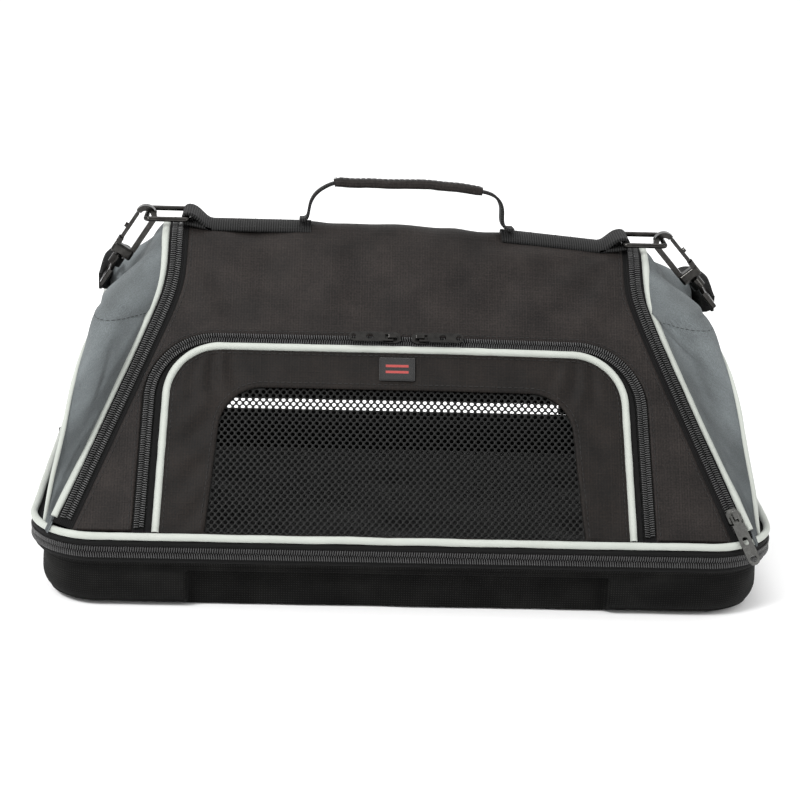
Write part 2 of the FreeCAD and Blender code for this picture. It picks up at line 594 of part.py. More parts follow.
# -------------------------------------------------------- snap hooks and rings
def make_hooks():
    """A snap hook, built hanging from its ring bar at the local origin."""
    nose_r, back_r, wide = 3.5, 7.0, 2.6
    axis_z = -1.8                       # centre of the hook's curve under the bar
    curve = Part.makeCylinder(back_r, 2 * wide, V(0, -wide, axis_z), V(0, 1, 0))
    curve = curve.cut(Part.makeCylinder(nose_r, 2 * wide + 2, V(0, -wide - 1, axis_z), V(0, 1, 0)))
    curve = curve.common(box(-10, 10, -10, 10, axis_z, 10))
    shank = box(-back_r, -nose_r, -wide, wide, axis_z - 24, axis_z)
    block = box(-back_r, back_r, -wide - 0.8, wide + 0.8, axis_z - 31, axis_z - 24)
    block = block.makeFillet(1.6, [e for e in block.Edges])
    post = Part.makeCylinder(2.0, 3.2, V(0, 0, axis_z - 34.1), V(0, 0, 1))
    head = Part.makeCylinder(3.2, 1.4, V(0, 0, axis_z - 35.4), V(0, 0, 1))
    pin = Part.makeCylinder(0.9, 2 * wide + 0.8, V(5.2, -wide - 0.4, axis_z - 22.2), V(0, 1, 0))
    ears = box(nose_r, back_r, -wide - 0.8, -wide + 0.6, axis_z - 24.5, axis_z - 20.4)
    ears = ears.fuse(box(nose_r, back_r, wide - 0.6, wide + 0.8, axis_z - 24.5, axis_z - 20.4))
    hook = curve.fuse([shank, block, post, head, pin, ears]).removeSplitter()

    lever = box(4.0, 6.4, -wide + 1.0, wide - 1.0, axis_z - 23.2, axis_z - 0.5)
    lever = lever.makeFillet(1.1, [e for e in lever.Edges if abs(e.Vertexes[0].Y - e.Vertexes[-1].Y) > 1])
    lever = lever.cut(Part.makeCylinder(0.95, 10, V(5.2, -5, axis_z - 22.2), V(0, 1, 0)))
    thumb = Part.makeCylinder(1.6, 2.0, V(6.0, 0, axis_z - 12), V(1, 0, 0))
    gate = lever.fuse(thumb).removeSplitter()

    # the eye turns on the post; its loop takes the strap
    hub = Part.makeCylinder(4.2, 6.4, V(0, 0, axis_z - 38.0), V(0, 0, 1))
    hub = hub.cut(Part.makeCylinder(3.5, 2.2, V(0, 0, axis_z - 35.8), V(0, 0, 1)))
    hub = hub.cut(Part.makeCylinder(2.3, 10, V(0, 0, axis_z - 34.5), V(0, 0, 1)))
    half = STRAP_W / 2 + 1.0
    top, low = axis_z - 38.0, axis_z - 47.0
    rod = 1.7
    loop = box(-rod, rod, -half - 3.2, half + 3.2, low - 3.0, top)
    loop = loop.cut(box(-9, 9, -half, half, low, top - 3.0))
    loop = loop.makeFillet(1.0, [e for e in loop.Edges if abs(e.Vertexes[0].X) > rod - 0.1
                                 and abs(e.Vertexes[-1].X) > rod - 0.1
                                 and abs(e.Vertexes[0].X - e.Vertexes[-1].X) < 0.1])
    eye = hub.fuse(loop).removeSplitter()

    for side, sign in (("right", 1), ("left", -1)):
        for name, shape in (("hook", hook), ("gate", gate), ("swivel_eye", eye)):
            piece = shape if sign > 0 else mirrored(shape)
            piece = piece.copy()
            piece.rotate(V(0, 0, 0), V(0, 1, 0), -sign * HOOK_TILT[side])
            piece.translate(V(sign * RING_OUT_X, 0, ring_height(side)))
            keep(f"{name}_{side}", piece)


# ------------------------------------------------------------------ zip sliders
BRIDGE_Z = 4.3              # pull's pivot above the zip tape
PULL_T = 1.0
DOOR_SLIDER_UP = 6.9        # door sliders above the door's piping line
SIDE_SLIDER_S = 18.0


def slider_body(skirted):
    """A slider over a coil: local x along the zip, z outwards."""
    top, under = 2.9, COIL_H + FIT
    half = 4.2 if skirted else 3.6
    outline = [V(-5.0, -0.6 * half, 0), V(-2.0, -half, 0), V(3.6, -half, 0), V(4.4, -0.7 * half, 0)]
    outline += [V(p.x, -p.y, 0) for p in reversed(outline)]
    plate = Part.Face(Part.makePolygon(outline + outline[:1]))
    low = FIT if skirted else under
    body = plate.extrude(V(0, 0, top - low))
    body.translate(V(0, 0, low))
    if skirted:
        channel = COIL_W / 2 + FIT
        body = body.cut(box(-9, 9, -channel, channel, 0, under))
    legs = box(-2.9, 2.9, -1.0, 1.0, top - 0.4, 6.2)
    legs = legs.makeFillet(0.9, [e for e in legs.Edges if abs(e.Vertexes[0].Y - e.Vertexes[-1].Y) > 1
                                 and e.Vertexes[0].Z > 6])
    hole = box(-1.5, 1.5, -3, 3, top, 5.3)
    return body.fuse(legs.cut(hole)).removeSplitter()


def slider_pull(length, half):
    """A pull tab lying along +x, hung on a bar through the slider's bridge."""
    neck = 2.6
    z0, z1 = BRIDGE_Z - PULL_T / 2, BRIDGE_Z + PULL_T / 2
    root = box(-0.5, 9.0, -neck, neck, z0, z1)
    blade = box(6.0, length - half, -half, half, z0, z1)
    end = Part.makeCylinder(half, PULL_T, V(length - half, 0, z0))
    pull = root.fuse([blade, end]).removeSplitter()
    slot = box(0.5, 4.6, -1.5, 1.5, z0 - 1, z1 + 1)
    oval = box(length * 0.44, length * 0.60, -1.6, 1.6, z0 - 1, z1 + 1)
    oval = oval.makeFillet(1.5, [e for e in oval.Edges if abs(e.Vertexes[0].Z - e.Vertexes[-1].Z) > 1])
    hole = Part.makeCylinder(half * 0.55, 5, V(length - half, 0, z0 - 1))
    return pull.cut(slot).cut(oval).cut(hole)


def place_slider(name, origin, along, out, length, half, skirted=True):
    """Put a slider and its pull at a point of a zip; the pull points along it."""
    across = out.cross(along)
    seat = FreeCAD.Placement(FreeCAD.Matrix(
        along.x, across.x, out.x, origin.x, along.y, across.y, out.y, origin.y,
        along.z, across.z, out.z, origin.z, 0, 0, 0, 1))
    body = slider_body(skirted)
    body.Placement = seat
    keep(f"{name}_slider", body)
    pull = slider_pull(length, half)
    pull.Placement = seat
    keep(f"{name}_pull", pull)


def make_sliders():
    # door: two sliders meet at the middle of the top, pulls point outwards
    top = MIDDLE.point(DOOR_TOP + DOOR_SLIDER_UP)
    for side, sign in (("right", 1), ("left", -1)):
        place_slider(f"door_zip_{side}", V(sign * 8.5, top.y, top.z), V(sign, 0, 0), MIDDLE.out,
                     27.0, 3.0, skirted=False)

    # side zips: parked at the foot, the right one in front, the left one behind
    x = edge_x(SIDE_SLIDER_S) - SIDE_COIL_IN
    for side, sign in SIGN.items():
        profile = Profile(sign * x)
        foot = profile.point(SIDE_SLIDER_S)
        down = unit(V(EDGE_RATE, 0, 0) - profile.up)
        place_slider(f"side_zip_{side}", V(sign * x, sign * foot.y, foot.z), V(sign * down.x, sign * down.y, down.z),
                     V(0, sign * profile.out.y, profile.out.z), 33.0, 3.8)

    # tray zip: both sliders parked past the back ends of the coil
    for side, sign in (("right", 1), ("left", -1)):
        place_slider(f"tray_zip_{side}", V(sign * HALF_LENGTH, TRAY_ZIP_END + 10.0, ZIP_GAP_Z),
                     V(0, -1, 0), V(sign, 0, 0), 27.0, 3.0)


# -------------------------------------------------------------- shoulder strap
def tube_along(points, radius):
    """A tube of straight runs joined by tangent arcs as large as the runs allow."""
    edges = []
    at = points[0]
    for before, corner, after in zip(points, points[1:], points[2:]):
        back, ahead = unit(before - corner), unit(after - corner)
        reach = 0.45 * min((before - corner).Length, (after - corner).Length)
        turn = math.pi - back.getAngle(ahead)
        bend = reach / math.tan(turn / 2)
        start, end = corner + back * reach, corner + ahead * reach
        middle_way = unit(back + ahead)
        to_centre = bend / math.cos(turn / 2)
        middle = corner + middle_way * (to_centre - bend)
        edges.append(Part.LineSegment(at, start).toShape())
        edges.append(Part.Arc(start, middle, end).toShape())
        at = end
        print(f"strap bend radius {bend:.0f} mm at {corner.x:.0f} {corner.y:.0f} {corner.z:.0f}")
    edges.append(Part.LineSegment(at, points[-1]).toShape())
    path = Part.Wire(edges)
    start_way = unit(points[1] - points[0])
    circle = Part.Wire([Part.makeCircle(radius, points[0], start_way)])
    tube = path.makePipeShell([circle], True, True)
    print(f"strap length {path.Length:.0f} mm, volume ratio",
          round(tube.Volume / (path.Length * math.pi * radius ** 2), 3))
    return tube


def make_strap():
    route = [V(*p) for p in STRAP_RIGHT + STRAP_LEFT]
    keep("shoulder_strap", tube_along(route, CORD_R))
    frame = box(ADJUSTER_X - 11, ADJUSTER_X + 11, 145.5, 178.5, 0.1, 7.0)
    frame = frame.makeFillet(2.0, [e for e in frame.Edges if abs(e.Vertexes[0].Z - e.Vertexes[-1].Z) > 3])
    channel = box(ADJUSTER_X - 12, ADJUSTER_X + 12, 158.6, 165.4, -1, 5.5)
    keep("strap_adjuster", frame.cut(channel))


def main():
    make_tray()
    make_cover()
    make_sides()
    make_door()
    make_ridge()
    make_handle()
    make_hooks()
    make_sliders()
    make_strap()
    print(len(solids), "nodes")


main()
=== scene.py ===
"""Looks for a tray-and-cover pet carrier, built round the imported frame. Lengths are in mm."""
import math

import bmesh
import bpy
import numpy as np
from mathutils import Matrix, Vector
from mathutils.geometry import delaunay_2d_cdt


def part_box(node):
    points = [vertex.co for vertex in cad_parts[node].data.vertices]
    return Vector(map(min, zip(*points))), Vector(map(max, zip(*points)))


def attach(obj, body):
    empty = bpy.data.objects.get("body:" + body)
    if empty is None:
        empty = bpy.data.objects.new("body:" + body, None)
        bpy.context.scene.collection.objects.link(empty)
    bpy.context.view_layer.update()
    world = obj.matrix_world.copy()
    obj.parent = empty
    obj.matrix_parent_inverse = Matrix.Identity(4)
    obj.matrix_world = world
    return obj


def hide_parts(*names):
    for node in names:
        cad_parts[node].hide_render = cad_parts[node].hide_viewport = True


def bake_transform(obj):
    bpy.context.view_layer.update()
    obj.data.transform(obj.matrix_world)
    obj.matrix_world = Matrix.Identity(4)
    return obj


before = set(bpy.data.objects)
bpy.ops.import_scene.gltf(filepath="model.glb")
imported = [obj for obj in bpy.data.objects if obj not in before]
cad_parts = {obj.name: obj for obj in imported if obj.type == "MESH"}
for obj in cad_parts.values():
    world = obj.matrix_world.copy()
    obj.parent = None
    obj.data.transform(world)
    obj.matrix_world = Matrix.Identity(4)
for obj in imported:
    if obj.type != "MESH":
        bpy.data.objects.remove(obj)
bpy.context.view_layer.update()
MM = 0.001
SIGN = {"right": 1, "left": -1}


def node_box(node):
    low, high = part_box(node)
    return np.array(low) / MM, np.array(high) / MM


# ------------------------------------------------------------ sizes of the bag
cord_low, cord_high = node_box("base_piping")
PIPING_R = (cord_high[2] - cord_low[2]) / 2
PIPING_Z = (cord_high[2] + cord_low[2]) / 2
HALF_LENGTH = cord_high[0] - PIPING_R
HALF_DEPTH = cord_high[1] - PIPING_R
RIM_R = 42.0
RIDGE_Z = node_box("front_panel")[1][2]
SAG_FROM_X, SAG_RATE = 30.0, 0.09
RIDGE_R, CLOTH = 27.0, 2.0
SKIN_Z, FOOT_Y = 49.0, 132.0
EDGE_TOP_X, EDGE_FLARE, EDGE_RATE, EDGE_SOFT = 151.5, 63.1, 0.392, 3.0
SIDE_ZIP_W, SIDE_COIL_IN = 14.0, 7.4
DOOR_HALF_FOOT, DOOR_HALF_TOP, DOOR_TOP, DOOR_R = 144.5, 140.5, 121.0, 33.0
DOOR_X = -5.3               # the door sits a little left of the middle
# how far each edge lies outside the door's piping: at the sides, at the top
FLAP_OUT, FLAP_IN = (6.2, 2.2), (1.0, 1.0)
TAPE_OUT, TAPE_IN = (14.8, 9.0), (6.5, 2.5)
OPENING, COIL_LINE = (14.0, 8.0), (10.0, 5.2)
# windows: half width at the foot and at the top, height of foot and top, corner radius
WINDOW = (115.0, 106.5, 2.0, 95.0, 27.0)
BACK_WINDOW = (118.0, 104.0, 34.0, 128.0, 24.0)
END_WINDOW = (72, 33, 99)   # half width, half height, middle height
LABEL_S = 108.0             # the label's middle, up the door
VENT_HALF = 118.0
ZIP_Z, TRAY_TOP = 39.95, 34.0
TRAY_ZIP_END = 70.0
STEP_MIDDLE, STEP_HALF = -2.75, 128.25
ARCH = [(49.0, 217.5, 117.0), (78.0, 212.6, 115.5), (104.0, 206.6, 110.0), (125.0, 203.0, 98.0),
        (140.0, 199.5, 80.0), (150.0, 195.0, 50.0), (156.0, 188.7, 0.0)]
ARCH_R = 1.35
GUSSET_SEAM_Z = 162.0
STRAP_W, STRAP_T = 25.0, 1.8
RING_BAR_X = 138.0
HANDLE_FOOT_X, HANDLE_HALF, HANDLE_LEAN = 64.0, 47.0, 9.0
TOOTH_PITCH = 1.44
NET_HALF, NET_HOLE, NET_THICK = (2.07, 2.45), 1.18, 0.8
# how far along a zip tooth or a stitch each ring of points lies, and how wide it is there
TOOTH_SHAPE = (-1, -0.8, -0.35, 0.2, 0.7, 1), (0.75, 1.08, 0.95, 0.9, 0.75, 0.4)
STITCH_SHAPE = (-1, -0.85, -0.4, 0.4, 0.85, 1), (0.3, 0.8, 1, 1, 0.8, 0.3)


# ----------------------------------------------------------------- arithmetic
def unit(v):
    return v / np.maximum(np.linalg.norm(v, axis=-1, keepdims=True), 1e-9)


def smooth(v, low, high):
    t = np.clip((np.asarray(v, float) - low) / (high - low), 0, 1)
    return t * t * (3 - 2 * t)


def bell(v, wide):
    return np.exp(-(v / wide) ** 2)


def waves(x, y, size, seed, count=8):
    """Smooth, repeatable unevenness of about +-1 whose bumps are about size across."""
    draw = np.random.default_rng(seed)
    total = 0.0
    for _ in range(count):
        angle, phase = draw.uniform(0, 2 * math.pi, 2)
        k = 2 * math.pi / size * draw.uniform(0.6, 1.6)
        total = total + np.sin(k * (x * math.cos(angle) + y * math.sin(angle)) + phase)
    return total / math.sqrt(2 * count)


def lengths(points, closed=False):
    """Distance along a line of points, from its start."""
    ring = np.vstack([points, points[:1]]) if closed else points
    return np.concatenate([[0], np.cumsum(np.linalg.norm(np.diff(ring, axis=0), axis=1))])


def sample(values, at, want):
    """Rows of values that belong to the distances at, read off at the wanted ones."""
    return np.stack([np.interp(want, at, column) for column in values.T], 1)


def resample(points, step, closed=False, extra=()):
    """Even steps along a line, with other values carried along it."""
    at = lengths(points, closed)
    want = np.linspace(0, at[-1], max(3, int(round(at[-1] / step))) + 1)
    if closed:
        want = want[:-1]
    out = [sample(np.vstack([v, v[:1]]) if closed else v, at, want) for v in (points, *extra)]
    return out if extra else out[0]


def tangents(points, closed=False):
    if closed:
        return unit(np.roll(points, -1, 0) - np.roll(points, 1, 0))
    return unit(np.gradient(points, axis=0))


def dense(line, step, closed):
    """The same line with no gap above step between its points."""
    out = []
    for i in range(len(line) if closed else len(line) - 1):
        a, b = line[i], line[(i + 1) % len(line)]
        parts = max(1, int(math.ceil(np.linalg.norm(b - a) / step)))
        out += [a + (b - a) * k / parts for k in range(parts)]
    return np.array(out if closed else out + [line[-1]])


def rounded(corners, radii, closed=True, step=2.0):
    """A polygon or open line with its corners turned into arcs."""
    corners = [np.array(c, float) for c in corners]
    line = []
    for i, (c, r) in enumerate(zip(corners, radii)):
        if r <= 0:
            line.append(c)
            continue
        a, b = unit(corners[i - 1] - c), unit(corners[(i + 1) % len(corners)] - c)
        half = math.acos(float(np.clip(a @ b, -1, 1))) / 2
        centre = c + unit(a + b) * r / math.sin(half)
        start, stop = (c + v * r / math.tan(half) - centre for v in (a, b))
        turn = math.pi - 2 * half
        count = max(4, int(r * turn / step))
        for t in np.arange(count + 1) / count:
            line.append(centre + (start * math.sin((1 - t) * turn) + stop * math.sin(t * turn))
                        / math.sin(turn))
    return dense(np.array(line), step, closed)


def box_line(half_x, half_y, middle_y, radius, step=2.0):
    corners = [(a * half_x, middle_y + b * half_y) for a, b in ((-1, -1), (-1, 1), (1, 1), (1, -1))]
    return rounded(corners, (radius,) * 4, step=step)


def spline_through(points, count):
    """A natural cubic spline through the points, by distance along them."""
    points = np.asarray(points, float)
    t = lengths(points)
    h = np.diff(t)
    n = len(t)
    grid, right = np.eye(n), np.zeros_like(points)
    for i in range(1, n - 1):
        grid[i, i - 1:i + 2] = h[i - 1], 2 * (h[i - 1] + h[i]), h[i]
        right[i] = 6 * ((points[i + 1] - points[i]) / h[i] - (points[i] - points[i - 1]) / h[i - 1])
    bend = np.linalg.solve(grid, right)
    out = []
    for v in np.linspace(0, t[-1], count):
        i = min(max(int(np.searchsorted(t, v)) - 1, 0), n - 2)
        a, b = (t[i + 1] - v) / h[i], (v - t[i]) / h[i]
        out.append(a * points[i] + b * points[i + 1]
                   + ((a ** 3 - a) * bend[i] + (b ** 3 - b) * bend[i + 1]) * h[i] ** 2 / 6)
    return np.array(out)


# ---------------------------------------------------------- the cover's shape
def ridge_at(x):
    return RIDGE_Z - SAG_RATE * np.maximum(0.0, np.asarray(x, float) - SAG_FROM_X)


def profile(x):
    """At x: the ridge's centre height, the slope's angle and length, and the length to the crest."""
    centre_z = ridge_at(x) - RIDGE_R
    rise = centre_z - SKIN_Z
    angle = np.arctan2(rise, FOOT_Y) + np.arcsin(RIDGE_R / np.hypot(FOOT_Y, rise))
    slope = (centre_z + RIDGE_R * np.cos(angle) - SKIN_Z) / np.sin(angle)
    return centre_z, angle, slope, slope + RIDGE_R * angle


CREST = float(profile(0.0)[3])
LEVEL_TO = 150.0            # above this the slope's length follows the sagging ridge


def slope_or_ridge(s, out, centre_z, angle, slope):
    """y and z of a point s up the front and out from it."""
    turn = angle - (s - slope) / RIDGE_R
    y = np.where(s <= slope, -FOOT_Y + np.cos(angle) * s - np.sin(angle) * out,
                 -(RIDGE_R + out) * np.sin(turn))
    return y, np.where(s <= slope, SKIN_Z + np.sin(angle) * s + np.cos(angle) * out,
                       centre_z + (RIDGE_R + out) * np.cos(turn))


def cover(x, s, out=0.0):
    """A point of the cover: x along it, s up the front, over the ridge and down the back."""
    x, s, out = np.broadcast_arrays(*(np.asarray(v, float) for v in (x, s, out)))
    centre_z, angle, slope, crest = profile(x)
    back = s > CREST
    s = np.where(back, 2 * CREST - s, s)
    s = np.where(s > LEVEL_TO, LEVEL_TO + (s - LEVEL_TO) * (crest - LEVEL_TO) / (CREST - LEVEL_TO), s)
    y, z = slope_or_ridge(s, out, centre_z, angle, slope)
    return np.stack([x, np.where(back, -y, y), z], -1)


def edge_x(s):
    s = np.minimum(s, 2 * CREST - np.asarray(s, float))
    return EDGE_TOP_X + EDGE_SOFT * np.log1p(np.exp((EDGE_FLARE - EDGE_RATE * s) / EDGE_SOFT))


def foot_s(x):
    """Distance up the front at which the cover clears the rim's rounded corner."""
    turn = np.maximum(0.0, np.abs(x) - (HALF_LENGTH - RIM_R))
    rim_y = HALF_DEPTH - RIM_R + np.sqrt(np.maximum(RIM_R ** 2 - turn ** 2, 0.0))
    return np.maximum(0.0, (FOOT_Y - (rim_y - PIPING_R)) / np.cos(profile(x)[1]))


def on_cover(line, step, out=0.0, closed=False, place=cover):
    """Points, directions along, across and outwards, of a line drawn on the cover."""
    x, s = dense(line, 1.5, closed).T
    points = place(x, s, out)
    normals = unit(place(x, s, out + 1.0) - points)
    points, normals = resample(points, step, closed, (normals,))
    along = tangents(points, closed)
    across = unit(np.cross(along, normals))
    return points, along, across, unit(np.cross(across, along))


def door_line(grow, foot, closed=False):
    """The door's outline on its piping line, grown sideways and upwards."""
    side, top = grow
    rate = (DOOR_HALF_TOP - DOOR_HALF_FOOT) / DOOR_TOP
    high = DOOR_TOP + top
    low_x, high_x = (DOOR_HALF_FOOT + rate * s + side for s in (foot, high))
    r = DOOR_R + 0.5 * (side + top)
    return rounded([(-low_x, foot), (-high_x, high), (high_x, high), (low_x, foot)],
                   (0, r, r, 0), closed) + [DOOR_X, 0]


def window_line(half_foot, half_top, foot, top, radius, foot_radius, grow=0.0):
    return rounded([(-half_foot - grow, foot - grow), (-half_top - grow, top + grow),
                    (half_top + grow, top + grow), (half_foot + grow, foot - grow)],
                   (foot_radius, radius + grow, radius + grow, foot_radius))


def door_window(foot_radius, grow=0.0):
    return window_line(*WINDOW, foot_radius, grow) + [DOOR_X, 0]


def back_window(grow=0.0):
    return window_line(*BACK_WINDOW, BACK_WINDOW[-1], grow) * [1, -1] + [0, 2 * CREST]


def side_line(sign, inset, s0, s1, step=3.0):
    """A line beside the cover's side edge, from s0 to s1."""
    s = np.linspace(s0, s1, int((s1 - s0) / step) + 1)
    x = edge_x(s) - inset
    low = foot_s(x) - (1.5 if s0 < 0 else 0.0)
    return np.stack([sign * x, s], 1)[(s >= low) & (2 * CREST - s >= low)]


def rim_path(z, step=1.0, cut=None, arc=2.0):
    """Frames round the base piping's centre line, from the back middle.

    cut keeps only the part with y below it, or beyond a back half width, and starts after the gap.
    """
    x, y = HALF_LENGTH, HALF_DEPTH
    line = rounded([(x, y), (x, -y), (-x, -y), (-x, y)], (RIM_R,) * 4, step=arc)
    start = np.argmin(np.abs(line[:, 0]) - line[:, 1] * 1e3 + (line[:, 0] < 0) * 1e6)
    line = np.roll(line, -start, 0)
    if abs(line[0, 0]) > 0.01:
        line = np.vstack([[0.0, y], line])
    points = resample(np.column_stack([line, np.full(len(line), z)]), step, True)
    along = tangents(points, True)
    up = np.tile([0.0, 0.0, 1.0], (len(points), 1))
    path = points, along, up, unit(np.cross(up, along))
    if cut is None:
        return path
    x, y, _ = points.T
    keep = y < cut if cut > 0 else ~((y > 0) & (np.abs(x) < -cut))
    gap = np.argmax(np.diff(lengths(points[keep], True)))
    return tuple(np.roll(v[keep], -gap - 1, 0) for v in path)


# --------------------------------------------------------------- mesh helpers
def piece(name, shape, body, slot, hides=(), mat=None):
    """Adds a mesh that rides on a body and stands for the CAD nodes it hides."""
    verts, faces, loop_uv = shape
    mesh = bpy.data.meshes.new(name)
    mesh.from_pydata((verts * MM).tolist(), [], faces)
    layer = mesh.uv_layers.new(name="cloth")
    layer.data.foreach_set("uv", (loop_uv * MM).ravel())
    mesh.shade_smooth()
    obj = bpy.data.objects.new(name, mesh)
    bpy.context.collection.objects.link(obj)
    mesh.materials.append(mat or MATS[slot])
    if body:
        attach(obj, body)
    if hides:
        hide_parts(*hides)
    return obj


def quads(n, m, close_n=False, close_m=False):
    """Faces of an n by m grid of points, and the row and column of each face's corners."""
    i, j = np.meshgrid(np.arange(n if close_n else n - 1), np.arange(m if close_m else m - 1),
                       indexing="ij")
    index = np.stack([np.stack([i + a, j + b], -1) for a, b in ((0, 0), (1, 0), (1, 1), (0, 1))], -2)
    index = index.reshape(-1, 4, 2)
    return index[..., 0] % n * m + index[..., 1] % m, index


def grid_uv(index, u, v):
    return np.stack([u[index[..., 1]], v[index[..., 0]]], -1)


def border(n, m):
    """The outer points of an n by m grid, in order round it."""
    return [k * m for k in range(n)] + [(n - 1) * m + k for k in range(1, m)] \
        + [k * m + m - 1 for k in range(n - 2, -1, -1)] + list(range(m - 2, 0, -1))


def end_faces(n, m):
    """The first and last of n rings of m points, as faces."""
    return [list(range(m - 1, -1, -1)), list(range((n - 1) * m, n * m))]


def tube(rows, u, v, end_uv, closed=False):
    """Rings of points joined up: u runs round each ring, and v from ring to ring."""
    n, m = rows.shape[:2]
    faces, index = quads(n, m, closed, True)
    faces, uv = faces.tolist(), grid_uv(index, u, v).reshape(-1, 2)
    if not closed:
        faces += end_faces(n, m)
        uv = np.vstack([uv, *end_uv])
    return rows.reshape(-1, 3), faces, uv


def sweep(path, section, closed=False):
    """A closed section of (across, out) points carried along a path."""
    points, _, across, out = path
    section = np.broadcast_to(section, (len(points), *np.shape(section)[-2:]))
    rows = points[:, None] + across[:, None] * section[..., :1] + out[:, None] * section[..., 1:]
    return tube(rows, lengths(section[0], True), lengths(points, closed),
                (section[0][::-1], section[0]), closed)


def merge(parts):
    """Several (verts, faces, loop_uv) as one."""
    faces, start = [], 0
    for verts, part, _ in parts:
        faces += [[i + start for i in face] for face in part]
        start += len(verts)
    return np.vstack([p[0] for p in parts]), faces, np.vstack([p[2] for p in parts])


def widened(section, width):
    """One section for each point of a path, stretched across to its width there."""
    return section * np.stack([width, np.ones(len(width))], 1)[:, None]


def cord(name, path, radius, uneven, sides, body, stands_for, sway=None, closed=False):
    """Piping that varies a little in thickness and, if it sways, wanders off its path.

    uneven lists (amount, size, seed); sway is how far across, how far out, size, seed.
    """
    points, along, across, out = path
    at = lengths(points)
    thick = radius * (1 + sum(amount * waves(at, 0, size, seed) for amount, size, seed in uneven))
    if sway:
        points = points + (across * sway[0] + out * sway[1]) * waves(at, 0, *sway[2:])[:, None]
    turn = np.linspace(0, 2 * math.pi, sides, endpoint=False)
    section = np.stack([np.cos(turn), np.sin(turn)], 1) * thick[:, None, None]
    shape = sweep((points, along, across, out), section, closed)
    piece(name, shape, body, "pale_piping", [stands_for])


def flat_section(low, high, bottom, top, ribs=0, rib=0.0, edge=0.4):
    """A flat strip's section with rounded edges, and lengthwise ribs on its outer side."""
    count = max(2, 2 * ribs)
    upper = [(high - edge + (low - high + 2 * edge) * i / count, top + rib * (i % 2))
             for i in range(count + 1)]
    return np.array([(low, bottom), (high, bottom), (high, top - edge), *upper, (low, top - edge)])


def beads(frames, length, width, height, shape):
    """Many small rounded bars, such as zip teeth and stitches."""
    centre, long, wide, high = (v[:, None, None] for v in frames)
    turn = np.linspace(0, 2 * math.pi, 6, endpoint=False)
    st, sw = np.array(shape)[:, :, None]
    n, m = len(st), len(turn)
    verts = (centre + long * (st * length / 2)[..., None] + wide * (sw * np.cos(turn) * width / 2)[..., None]
             + high * (sw * np.sin(turn) * height / 2)[..., None])
    start = (np.arange(len(centre)) * n * m)[:, None, None]
    body = (quads(n, m, False, True)[0] + start).reshape(-1, 4).tolist()
    ends = (np.array(end_faces(n, m)) + start).reshape(-1, m).tolist()
    return verts.reshape(-1, 3), body + ends, np.zeros((len(body) * 4 + len(ends) * m, 2))


def stations(path, first, step, short=0.0):
    """A path's frames at even steps from first to short of its end."""
    at = lengths(path[0])
    return [sample(v, at, np.arange(first, at[-1] - short, step)) for v in path]


def teeth(path, rows, height):
    """Rows of zip teeth along a path: each row is (inner end, outer end, start along)."""
    parts = []
    for inner, outer, shift in rows:
        centre, along, across, out = stations(path, shift * TOOTH_PITCH, TOOTH_PITCH)
        centre = centre + across * (inner + outer) / 2 + out * (height * 0.42)
        lean = unit(across * np.sign(outer - inner) + along * 0.12)
        parts.append(beads((centre, lean, unit(along), unit(out)), abs(outer - inner),
                           TOOTH_PITCH * 0.62, height, TOOTH_SHAPE))
    return merge(parts)


def stitch_row(path, across=0.0, out=0.0, length=2.4, gap=1.1, thick=0.42):
    centre, along, side, normal = stations(path, gap, length + gap, gap)
    frames = centre + side * across + normal * out, unit(along), unit(side), unit(normal)
    return beads(frames, length, thick, thick * 0.8, STITCH_SHAPE)


def sewn(line, out=0.1, closed=False, place=cover):
    return stitch_row(on_cover(line, 1.0, closed=closed, place=place), out=out)


def inside(points, loop):
    """Which points lie inside a closed loop."""
    x, y = points.T
    found = np.zeros(len(points), bool)
    for (x0, y0), (x1, y1) in zip(loop, np.roll(loop, -1, 0)):
        if y0 != y1:
            found ^= ((y0 > y) != (y1 > y)) & (x < (x1 - x0) * (y - y0) / (y1 - y0) + x0)
    return found


def in_cloth(points, loops):
    """Which points lie inside the first loop and outside the others."""
    good = inside(points, loops[0])
    for hole in loops[1:]:
        good &= ~inside(points, hole)
    return good


def edge_distance(points, loops):
    """Distance of each point from the nearest of the loops."""
    best = np.full(len(points), 1e9)
    for loop in loops:
        d = np.roll(loop, -1, 0) - loop
        size = np.maximum(np.sum(d * d, 1), 1e-9)
        for start in range(0, len(points), 2000):
            part = slice(start, start + 2000)
            p = points[part, None] - loop[None]
            t = np.clip(np.sum(p * d, -1) / size, 0, 1)[..., None]
            best[part] = np.minimum(best[part], np.linalg.norm(p - t * d, axis=-1).min(1))
    return best


